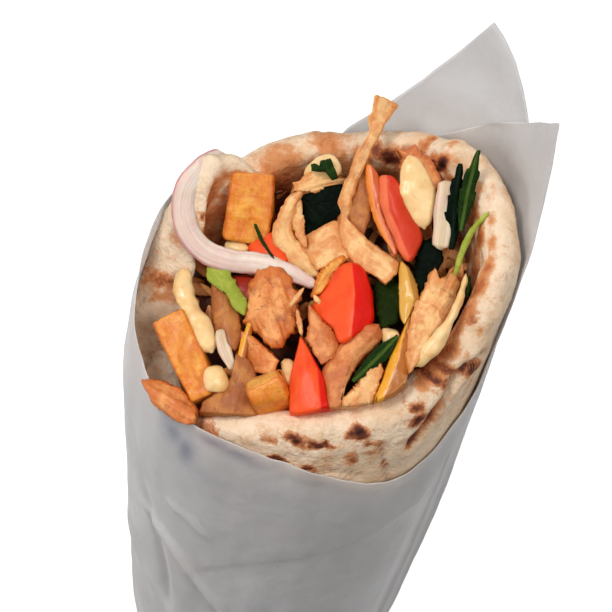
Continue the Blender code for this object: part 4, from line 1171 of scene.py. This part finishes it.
def lay_onion(ring_finish, strip_finish):
    """The large ring over the left rim, a strip at the right and a sliver at the left."""
    def slice_of(node, finish, *args, **kw):
        bm = bar(*args, **kw)
        layer = bm.verts.layers.float.new("skin")
        side = bm.verts.layers.float["side"]
        for v in bm.verts:
            v[layer] = ease(v[side], 0.55, 1.0)
        sculpt(bm, fibres(0.12, 14, 0.8, 1), lumps(4, 0.25, 2, 2))
        settle(node + "_slice", bm, finish, [node])
    slice_of("onion_ring", ring_finish,
             [(-23.6, 27.2, 9.6), (-27.8, 25.0, 14.6), (-31.4, 21.0, 15.2), (-32.8, 16.2, 14),
              (-31.8, 10.8, 12), (-28.4, 6.5, 10), (-23, 4.2, 8.6), (-16, 3.4, 7.8), (-9.4, 1.4, 7.2),
              (-4.6, -1.2, 6)], [3.4, 4.6, 5.0, 5.2, 5.2, 5.0, 4.8, 4.8, 4.0, 2.0], [1.3] * 10,
             cuts=(130, 14, 6), square=3, bow=0.4)
    slice_of("onion_strip", strip_finish, [(24.0, 21, 9.2), (23.6, 14, 8.7), (22.6, 7, 7)],
             [3.6, 4.8, 3.4], [1.8] * 3, cuts=(44, 14, 6), square=4, ends=(0.9, 0.6), blunt=0.2)
    slice_of("onion_sliver", strip_finish, [(-24.8, -10.8, 6), (-24, -14.5, 6.5), (-22, -19, 5.5)],
             [2, 3, 1.8], [1.4] * 3, cuts=(30, 8, 5), square=4, ends=(0.9, 0.6), blunt=0.2)


def lay_peppers(bright, olive, orange):
    """Four cut pieces of sweet pepper, bent along a ridge."""
    def strip(node, finish, outline, lift, line, falls, lean, run, torn=0.0):
        bm = chunk(outline, lift, PEPPER_DEPTH, lean, 0.5, (40, 40, 8), torn=torn, sharp=True, run=run,
                   seed=len(node), shoulder=0.95, undercut=0.9, relief=ridge(line, *falls, 0.6))
        sculpt(bm, lumps(4.5, 0.25, len(node), 2), lumps(1.0, 0.05, 3))
        settle(node + "_cut", bm, finish, [node])
    strip("pepper_front", bright,
          [(16.4, -6.4), (16.2, -11.8), (15.6, -21.3), (14.8, -25.6), (11.6, -27.4), (7.6, -28),
           (9.7, -22.8), (11, -19.1), (12.5, -15.5), (14.4, -11.2)], 6.6,
          [(16, -6), (13.6, -17), (9.5, -28)], (0.5, 0.15), (0, 0.05), 105)
    strip("pepper_olive", olive,
          [(14.2, 4.2), (15.9, 3), (17.6, -1.1), (18.2, -3.9), (16.8, -6.2), (15, -10.0), (14.1, -8.4),
           (13.8, -3.9), (13.6, 1.7)], 7.0, [(15, 4), (17, -4), (15, -10)], (0.1, 0.8), (0.05, 0.02), 95,
          0.15)
    strip("pepper_back", orange,
          [(6.5, 25.2), (8, 24.9), (9.5, 22.8), (9.7, 21), (9.4, 18), (10.1, 14), (11.6, 10.6),
           (13.6, 6.8), (13.2, 4.4), (10.5, 8.6), (8.4, 12.9), (7.2, 17.2), (6.6, 21)], 8.6,
          [(7.6, 25), (8.6, 16), (12.6, 6)], (0.7, 0.2), (0, 0.06), 100, 0.2)
    strip("pepper_strip", bright,
          [(-17.0, -3.6), (-15.9, -5.2), (-17.8, -11.2), (-19.8, -18.4), (-21.4, -17.6), (-20.2, -12.5),
           (-18.4, -8)], 5.8, [(-16.6, -4), (-19, -12), (-20.6, -18)], (0.4, 0.4), (0, 0.02), 75)


def lay_chicken(pale, warm, brown, skin, amber):
    """The torn pieces of roast chicken."""
    def meat(node, bm, finish, seared=0.3, fibre=0.14, rough=0.28, extra=(), nodes=None):
        sear(bm, seared, len(node) * 1.7)
        sculpt(bm, lumps(4.5, rough, len(node), 2), fibres(fibre, 8, 1.1, len(node)), lumps(1.6, 0.09, 5, 2),
               *extra)
        settle(node + "_meat", bm, finish, [node] if nodes is None else nodes)

    def torn_piece(outline, lift, depth, lean, dome, torn, run, seed, line, falls, soft=0.8,
                   cuts=(44, 44, 9), shoulder=0.95):
        return chunk(outline, lift, depth, lean, dome, cuts, torn=torn, sharp=True, run=run, seed=seed,
                     shoulder=shoulder, undercut=0.88, relief=ridge(line, *falls, soft))

    meat("chicken_long", bar(
        [(2.0, 10.5, 4.4), (2.4, 17.5, 8.2), (5.0, 24.5, 9.5), (8.4, 31, 9.5), (9.8, 35.2, 9.5),
         (11.2, 38.8, 10)], [3.6, 3.2, 2.6, 2.4, 3.0, 3.6, 6.2], [3.0, 2.8, 2.2, 1.8, 1.8, 1.6, 1.2],
        square=3.4, cuts=(110, 14, 8), ends=(0.7, 0.9), blunt=0.2, dome=0.2, turn=0.4, ragged=0.35, seed=3),
         pale, 0.42, 0.22, 0.25)
    meat("chicken_crescent", bar(
        [(-7.2, 19.2, 9.8), (-9.0, 17.2, 9.6), (-10.5, 14.2, 9.2), (-11.2, 11, 8), (-10.4, 8, 7),
         (-7.8, 5.0, 6), (-3.8, 0.8, 4.4)], [1.4, 2.6, 3.4, 4.2, 5.2, 5.0, 4.2, 2.4], [2.2] * 8,
        square=3.6, cuts=(110, 16, 8), ends=(0.3, 0.6), blunt=0.3, dome=0.2, ragged=0.4, seed=8, bow=0.5),
         pale, 0.3, 0.3)
    meat("chicken_crescent_flap", torn_piece(
        [(-7.4, 17.8), (-6.8, 14.4), (-6.3, 11.2), (-6.1, 7.2), (-6.9, 7.0), (-8.4, 9.6), (-9.4, 12.4),
         (-9.0, 15.6), (-8.2, 17.4)], 7.8, 2.6, (0.1, 0.1), 0.3, 0.3, 80, 4, [(-7.8, 18), (-7.0, 7)],
        (0.4, 0.3)), pale, 0.2, 0.5, nodes=(), extra=(flakes(0.3, 4.0, 3),))
    meat("chicken_crescent_horn", torn_piece(
        [(-9.0, 21.0), (-8.2, 20.4), (-6.8, 22.3), (-5.1, 23.4), (-3.4, 23.2), (-1.3, 23.5), (-0.4, 22.9),
         (-0.9, 21.9), (1.0, 21.9), (3.0, 21.8), (1.8, 20.6), (-1.3, 20.2), (-3.7, 19.3), (-6.5, 18.0),
         (-7.7, 17.2), (-8.9, 18.0)], 9.9, 2.6, (0.02, 0.05), 0.3, 0.3, 15, 14,
        [(-9, 19), (-4, 21.4), (3, 21.2)], (0.3, 0.3), cuts=(54, 40, 9)),
         pale, 0.25, 0.3, nodes=(), extra=(fibres(0.25, 8, 1.0, 6),))
    meat("chicken_thick", torn_piece(
        [(9.5, -9.6), (10.4, -11.8), (9.7, -13.8), (6.7, -16.1), (3.6, -20.2), (1.6, -25), (0.8, -31),
         (-3.0, -31.5), (-2.2, -24.1), (-3.2, -20.0), (-2.4, -17.4), (-0.2, -15.2), (1.7, -13.1),
         (4.4, -10.2), (6.8, -9.2)], 7.4, 9, (0.0, 0.1), 0.5, 0.3, 55, 6,
        [(9, -9), (3, -16), (-0.6, -24), (-2, -32)], (0.25, 0.75), 1.6, (54, 54, 10), 0.9),
         warm, 0.12, 0.1, 0.4)
    meat("chicken_chunk", torn_piece(
        [(-16.6, 2.6), (-13, 3.4), (-9.8, 0.6), (-7.8, -4.0), (-8.4, -9.5), (-11.2, -14.6),
         (-13.6, -14.8), (-17.2, -11.5), (-19.8, -9.0), (-19.2, -4.2), (-17.8, -0.6)], 8.2, 10,
        (0.02, 0.08), 0.8, 0.55, 110, 3, [(-13.6, 4), (-12.2, -4), (-12.6, -15)], (0.3, 0.62), 1.2,
        (54, 54, 12), 0.92), brown, 0.5, 0.45, 0.7, extra=(fibres(0.6, 12, 2.2, 4),))
    meat("chicken_flaked", torn_piece(
        [(20.2, 0.6), (21.6, 3.0), (22.6, 0.4), (24.3, 0.9), (25.6, 3.2), (26.6, 0.4), (27.2, -0.8),
         (25.8, -6), (22.8, -11.8), (19.0, -16.8), (15.6, -20.6), (15.2, -16), (15.6, -10.5),
         (17.2, -4.5), (19.0, -2.4)], 7.2, 9, (-0.22, 0.0), 0.5, 0.25, 60, 5,
        [(24, 3), (20, -10), (17, -21)], (0.35, 0.5), 2.4, (60, 60, 10)),
         pale, 0.15, 0.25, 0.35, extra=(flakes(0.55, 4.6, 2),))
    meat("chicken_point", torn_piece(
        [(-5.7, -5.2), (-4.1, -6.9), (-2.6, -8.8), (-1.0, -9.9), (0.4, -12), (0.9, -14.2), (-0.4, -17.2),
         (-3, -18.2), (-4.3, -16.3), (-5.4, -14.2), (-6.4, -12.7), (-5.8, -9.9)], 8.0, 8, (0.05, 0.06),
        0.5, 0.25, 80, 7, [(-5.4, -5), (-2.6, -12), (-1.6, -18)], (0.2, 0.6)), warm, 0.3)
    meat("chicken_fibrous", torn_piece(
        [(9.8, -17.4), (10.6, -19.1), (8.4, -25.4), (7.2, -29.4), (-0.2, -30.6), (1.1, -26), (4.5, -22.4),
         (7.1, -19.1)], 6.2, 8, (0, 0.08), 0.4, 0.5, 140, 9, [(10, -17), (4, -25), (1, -31)], (0.3, 0.4),
        1.2), pale, 0.15, 0.35, 0.3, extra=(flakes(0.4, 2.4, 1),))
    meat("chicken_slab", torn_piece(
        [(1.3, 15.0), (4.0, 11.8), (7.0, 9.0), (10.7, 6.2), (14.0, 3.8), (13.3, 1.2), (10.9, -1.2),
         (8.9, 0.4), (6.7, 1.8), (4.0, 3.6), (1.5, 7.4), (0.7, 11.4)], 7.8, 6, (0.02, -0.02), 0.4, 0.2,
        -35, 10, [(1.6, 15.2), (6.2, 8.0), (13.6, 1.2)], (0.15, 0.75), 0.8, (54, 54, 9)),
         pale, 0.2, 0.2, 0.25)
    meat("chicken_left", torn_piece(
        [(-41.8, -21.6), (-37.5, -21.4), (-33.5, -23.6), (-30.0, -27.2), (-28.6, -31), (-33.5, -31),
         (-39.6, -26.6)], 6.5, 7, (0, 0), 0.6, 0.3, -30, 11, [(-42, -22), (-36, -26), (-29, -31)],
        (0.3, 0.4), 1.5), brown, 0.35, 0.25)
    meat("chicken_skin", torn_piece(
        [(-21.4, -15.6), (-18.2, -17.2), (-16.6, -22), (-16.4, -31.5), (-24, -32), (-29.6, -31),
         (-28.6, -26.4), (-25.6, -24.4), (-22.4, -20.6)], 6.0, 7, (0, 0.04), 0.5, 0.4, 70, 13,
        [(-20, -15), (-21.5, -24), (-24, -33)], (0.3, 0.45), 2.0), skin, 0.3, 0.12)
    meat("chicken_triangle", torn_piece(
        [(-20.4, -10.8), (-17.4, -12.4), (-13.4, -15.6), (-11.8, -17.5), (-13.5, -20.6), (-18.7, -19.6),
         (-20.2, -15)], 5.9, 7, (0, 0), 0.3, 0.2, 20, 15, [(-20.4, -10.8), (-12, -17.6)], (0.4, 0.2)),
         brown, 0.4)
    meat("chicken_brown", torn_piece(
        [(-26.8, 1.0), (-23.4, -1), (-20.6, -6.5), (-19.8, -12), (-21.4, -15.4), (-25.2, -14),
         (-26.6, -8)], 5.0, 7, (0, 0), 0.8, 0.2, 80, 21, [(-25, 1), (-22.8, -15)], (0.4, 0.4), 1.5),
         skin, 0.4, 0.12)
    meat("chicken_middle", torn_piece(
        [(-6.4, 9.8), (-3.4, 11.8), (-0.4, 13.0), (0.8, 12.6), (2.4, 9.7), (3.4, 6.5), (3.9, 3.8),
         (-0.2, 4.0), (-2.2, 2.6), (-3.9, 2.0), (-5.4, 3.9), (-6.7, 6.5)], 6.6, 8, (0, 0), 0.9, 0.25, 30,
        29, [(-1, 13), (-1.6, 2)], (0.3, 0.35), 1.8), pale, 0.1, 0.15)
    meat("chicken_golden", torn_piece(
        [(0.6, 5.2), (3.0, 4.7), (0.6, 2.8), (-1.2, 0.2), (-2.8, -3.0), (-5.0, -3.6), (-4.4, -0.8),
         (-2.0, 3.4)], 7.2, 6, (0.05, 0.02), 0.5, 0.4, 60, 33, [(1, 5), (-3.4, -3.6)], (0.5, 0.4), 0.8),
         amber, 0.25, 0.5, nodes=())
    # This piece takes the darker skin finish as painted shade.
    meat("chicken_shaded", torn_piece(
        [(3.4, 26.4), (7.2, 27), (8.4, 21.5), (7.8, 14), (6.4, 9.6), (3.0, 11.6), (2.0, 17.4)], 6.8, 5,
        (0.1, 0), 0.5, 0.3, 85, 51, [(5, 27), (4.6, 10)], (0.3, 0.4), 1.2), skin, 0.2, 0.12, nodes=())
    meat("chicken_back", torn_piece(
        [(12.8, 28.6), (15, 27.8), (17.2, 29.4), (18.6, 27.2), (21.4, 25.2), (23.4, 20.6), (21.6, 18.8),
         (18.2, 22), (13.6, 23.8), (14.4, 26.2)], 7.6, 7, (0, 0.04), 0.5, 0.35, 70, 45,
        [(17, 29), (19, 20)], (0.3, 0.4), 1.2), warm, 0.25)
    for i, (a, u, lift, dx, du) in enumerate(((-6.6, -1.6, 8.0, -3.6, -4.6), (-4.6, -3.2, 7.6, 1.6, -2.2),
                                              (-8.2, -6.4, 6.6, 1.0, -5.4))):
        meat(f"chicken_fibre_{i + 1}", bar([(a, u, lift), (a + dx / 2, u + du / 2, lift + 0.3),
                                            (a + dx, u + du, lift - 1)], [0.6, 1.3, 0.9], [0.8] * 3,
                                           square=2.6, cuts=(24, 6, 4), ends=(0.3, 0.5), ragged=0.4, seed=i),
             pale, 0.1, 0.1, 0.1, nodes=())


def lay_leaves(dark, olive, herb, lettuce):
    """The herb leaves, the lettuce, a stem and a sprig."""
    def sheet(node, finish, *args, **kw):
        settle(node + "_leaf", leaf_sheet(*args, **kw), finish, [node], sheet=LEAF_GAUGE)

    def patch(node, finish, outline, lift, depth, torn, seed, ripple, run=60, lean=(0, 0)):
        bm = chunk(outline, lift, depth, lean, 0.5, (34, 34, 5), torn=torn, sharp=True, run=run, seed=seed)
        sculpt(bm, lumps(3.0, ripple, seed, 2))
        bm.verts.layers.float.new("midrib")
        settle(node + "_leaf", bm, finish, [node])
    patch("leaf_dark", dark,
          [(-7.4, 18.0), (-2.8, 20.0), (1.6, 20.7), (1.7, 17.2), (1.3, 14.4), (-0.9, 12.4), (-3.4, 11.2),
           (-6.2, 9.6), (-6.8, 12.9), (-7.1, 15.9)], 7.4, 2.0, 0.1, 39, 0.12, lean=(0, 0.2))
    patch("leaf_top", herb,
          [(-5.2, 24.9), (-4.3, 25.1), (-3.4, 24.3), (-3.1, 25.6), (-0.9, 26.3), (0.0, 24.0), (0.7, 21.8),
           (-0.7, 21.4), (-1.5, 23.2), (-3.4, 23.3), (-5.0, 23.4)], 11.2, 1.2, 0.1, 41, 0.1)
    patch("leaf_teal", dark,
          [(18.4, 8.2), (22, 9.4), (23.4, 4), (21, 0.6), (18, -3.6), (16.6, -1), (16.8, 3)], 5, 2.6, 0.3,
          36, 0.5)
    patch("leaf_olive", olive, [(8.8, -0.5), (12.4, 1.4), (14.6, -3), (13.6, -9), (10, -10.6), (8.2, -6)],
          4, 2.6, 0.5, 33, 0.4)
    patch("leaf_right", herb, [(27.6, 0.4), (29.2, 1), (29.4, -3), (28.2, -4)], 7, 2.0, 0.1, 37, 0.2)
    patch("lettuce_left", lettuce,
          [(-27.6, 4.4), (-25.4, 3), (-23.6, 5.6), (-22.2, 0.6), (-18.8, -4), (-19.4, -7.6),
           (-21.4, -6.6), (-23.4, -3), (-27.6, 0.2)], 7, 1.6, 0.3, 19, 0.5, run=-50)
    sheet("leaf_strip", herb, [(13.6, -12, 6.8), (8.8, -17, 7.1), (3.8, -21.8, 6.3)],
          [0.6, 3.6, 3.0, 0.8], cup=0.1, ripple=0.15, teeth=0.04)
    sheet("leaf_blade", dark, [(25.0, 6.5, 6), (25.8, 16, 9), (27, 25, 10.8)], [1.2, 3.8, 3.4, 0.8],
          cup=0.2, ripple=0.4, teeth=0.35, lobes=5, seed=2)
    sheet("leaf_tip", herb, [(27.0, 10.5, 8.6), (28.6, 19, 11), (30.8, 27.8, 12.8)], [1.0, 3.2, 3.0, 0.5],
          cup=0.2, ripple=0.4, teeth=0.3, lobes=4, seed=5)
    for node, path, widths in (("stem", [(32.8, 14.4, 10.7), (29.4, 10.4, 9.6), (27, 5, 8.4), (26, 1.2, 7)],
                                [0.9, 1.5, 1.2]),
                               ("dill_sprig", [(-17.8, 14.2, 7), (-16, 9, 8.4), (-13.4, 5, 8.2)],
                                [0.5, 0.9, 0.6])):
        bm = bar(path, widths, widths, square=2, cuts=(50, 5, 5), ends=(0.3, 0.4))
        bm.verts.layers.float.new("midrib")
        sculpt(bm, lumps(1.5, 0.12, 3, 2))
        settle(node + "_green", bm, lettuce if node == "stem" else herb, [node])


def lay_sauce(finish):
    """Where the cream shows between the pieces: four drawn-out trails and four drops."""
    def blob(node, bm, rough=0.3):
        sculpt(bm, lumps(4.0, rough, len(node), 2), lumps(1.6, 0.1, 2))
        settle(node + "_cream", bm, finish, [node])
    blob("sauce_left", bar(
        [(-32.3, 3, 6), (-32.5, -3, 7), (-29.5, -9, 7), (-26.8, -15, 6)], [3.4, 4.6, 3.8, 4.8, 3.6],
        [3, 3.6, 3.4, 3], square=2, cuts=(60, 12, 10), ends=(0.4, 0.4)), 0.5)
    blob("sauce_trail", bar(
        [(28.2, 1.4, 8.4), (26.9, -4.0, 9.4), (24.2, -9.8, 9.4), (21.0, -14.4, 8.8), (17.2, -18.2, 7.6)],
        [1.0, 2.0, 1.8, 2.6, 3.8, 2.8], [2.0] * 5, square=2.2, cuts=(60, 12, 8), bow=0.4), 0.4)
    blob("sauce_petal", bar(
        [(16, 26.5, 9.5), (17.6, 20, 9.4), (19.2, 11.4, 7.4)], [3.8, 8.4, 3.8], [3, 4, 3], square=2.8,
        cuts=(44, 16, 10), ends=(0.4, 0.3)), 0.35)
    blob("sauce_low", bar(
        [(-11, -16.6, 4), (-9.6, -20.5, 4.5), (-10, -25.6, 3.5)], [3, 3.8, 3.2], [3] * 3, square=2,
        cuts=(30, 10, 8)))
    for node, outline, lift, depth, dome in (
            ("sauce_blob", [(-28, -19.5), (-24.5, -18.6), (-22.8, -21.5), (-24, -24.2), (-27.6, -23.6)],
             6.8, 5, 1.6),
            ("sauce_dab", [(-23.4, 8), (-20.4, 8.8), (-18.4, 6.8), (-20.5, 5.2), (-23.2, 6)], 5, 4, 1.0),
            ("sauce_speck", [(10.2, -10.6), (13.6, -11), (13.4, -13.6), (10.4, -13.4)], 5.2, 4, 1.0),
            ("sauce_back", [(-6.8, 22.6), (-3.8, 26.6), (0, 26.8), (1.2, 23), (-3, 21.6)], 8.6, 4, 1.0)):
        blob(node, chunk(outline, lift, depth, dome=dome, cuts=(20, 20, 8), seed=len(node)))


# ---------------------------------------------------------------- the studio
# The view at the mouth, in millimetres: its width, and how far its middle is from the mouth's.
VIEW_WIDTH = 131.58
VIEW_MIDDLE = (-6.235, -5.59)
SENSOR = 36
# From here on places are in metres. The lamps: name, place, size and power.
LIGHT_AIM = (0, 0.06, 0.03)
LAMPS = [("key", (-0.62, 1.0, 0.56), 0.46, 8.6), ("side", (0.62, 0.78, 0.78), 0.5, 4.3),
         ("fill", (0.25, 0.78, 0.95), 0.6, 2.0), ("left", (-1.0, 0.1, 0.4), 0.6, 3.1)]
SKY_GLOW = 0.22
FLOOR_HALF = 3.0


def set_camera():
    """Looks straight down OUT into the mouth."""
    camera = bpy.data.cameras.new("camera")
    obj = bpy.data.objects.new("camera", camera)
    bpy.context.scene.collection.objects.link(obj)
    place = (MOUTH + OUT * SIGHT + SHIFT) * MM
    obj.matrix_world = Matrix.Translation(place) @ Matrix((ACROSS, UP, OUT)).transposed().to_4x4()
    camera.sensor_width = SENSOR
    camera.lens = SENSOR * SIGHT / VIEW_WIDTH
    camera.shift_x = VIEW_MIDDLE[0] / VIEW_WIDTH
    camera.shift_y = VIEW_MIDDLE[1] / VIEW_WIDTH
    camera.clip_start = 0.01
    bpy.context.scene.camera = obj


def add_light(name, place, size, power):
    """A round white lamp, turned towards the wrap."""
    lamp = bpy.data.lights.new(name, "AREA")
    lamp.shape = "DISK"
    lamp.size = size
    lamp.energy = power
    obj = bpy.data.objects.new(name, lamp)
    bpy.context.scene.collection.objects.link(obj)
    away = (Vector(place) - Vector(LIGHT_AIM)).normalized()
    obj.matrix_world = Matrix.Translation(place) @ away.to_track_quat("Z", "Y").to_matrix().to_4x4()


def set_studio():
    """A white floor under a pale sky, and four lamps."""
    bm = bmesh.new()
    bmesh.ops.create_grid(bm, x_segments=4, y_segments=4, size=FLOOR_HALF)
    mesh = bpy.data.meshes.new("floor")
    bm.to_mesh(mesh)
    bm.free()
    floor = bpy.data.objects.new("floor", mesh)
    bpy.context.scene.collection.objects.link(floor)
    mesh.materials.append(pale_floor())
    floor.visible_diffuse = False
    world = bpy.data.worlds.new("studio")
    world.use_nodes = True
    sky = world.node_tree.nodes["Background"].inputs
    sky["Color"].default_value = (1, 1, 1, 1)
    sky["Strength"].default_value = SKY_GLOW
    bpy.context.scene.world = world
    for lamp in LAMPS:
        add_light(*lamp)
    bpy.context.scene.view_settings.view_transform = "Standard"


def main():
    """Builds the wrap from its paper inwards."""
    set_camera()
    set_studio()
    paper = greaseproof_paper()
    make_paper(paper)
    make_flap(paper)
    make_bread(baked_bread())
    pale = cooked_meat("pale_chicken", linear(242, 192, 130), linear(222, 146, 82), linear(172, 88, 40),
                       0.4, 0.25)
    warm = cooked_meat("warm_chicken", linear(228, 152, 90), linear(198, 108, 52), linear(146, 62, 26),
                       0.5, 0.18)
    brown = cooked_meat("seared_chicken", linear(236, 162, 94), linear(210, 116, 50), linear(140, 60, 24),
                        0.9, 0.25)
    skin = cooked_meat("chicken_skin", linear(192, 124, 60), linear(162, 90, 38), linear(110, 50, 20),
                       1.0, 0.25)
    amber = cooked_meat("golden_chicken", linear(240, 170, 82), linear(220, 124, 42), linear(156, 74, 26),
                        0.5, 0.4)
    # The packed core is given a dark finish as painted shade in the gaps between the pieces.
    deep = cooked_meat("packed_meat_painted_shade", linear(124, 66, 36), linear(84, 38, 20), linear(40, 16, 9), 0.8, 0.4)
    make_core(deep)
    make_shreds(brown)
    lay_fries(golden_fry())
    lay_tomatoes(ripe_tomato("ripe_tomato", linear(220, 18, 2), linear(240, 84, 30), linear(130, 12, 3)),
                 ripe_tomato("deep_tomato", linear(138, 22, 10), linear(158, 40, 22), linear(80, 12, 8)),
                 ripe_tomato("pink_tomato", linear(208, 58, 28), linear(234, 112, 68), linear(100, 22, 8)))
    onion = raw_onion("red_onion_ring", linear(226, 200, 184), linear(186, 112, 118))
    lay_onion(onion, raw_onion("white_onion", linear(216, 190, 150), linear(196, 160, 140)))
    lay_peppers(sweet_pepper("yellow_pepper", linear(232, 158, 22), linear(176, 100, 10)),
                sweet_pepper("olive_pepper", linear(216, 160, 54), linear(176, 118, 28)),
                sweet_pepper("orange_pepper", linear(232, 130, 36), linear(200, 84, 22)))
    lay_chicken(pale, warm, brown, skin, amber)
    lay_leaves(green_leaf("dark_leaf", linear(3, 9, 4), linear(20, 40, 20), linear(12, 28, 16)),
               green_leaf("olive_leaf", linear(26, 40, 8), linear(56, 74, 22), linear(46, 64, 14)),
               green_leaf("herb_leaf", linear(24, 44, 12), linear(80, 104, 40), linear(48, 72, 22)),
               green_leaf("lettuce_leaf", linear(150, 160, 58), linear(206, 208, 124), linear(190, 192, 92)))
    lay_sauce(cream_sauce())


main()
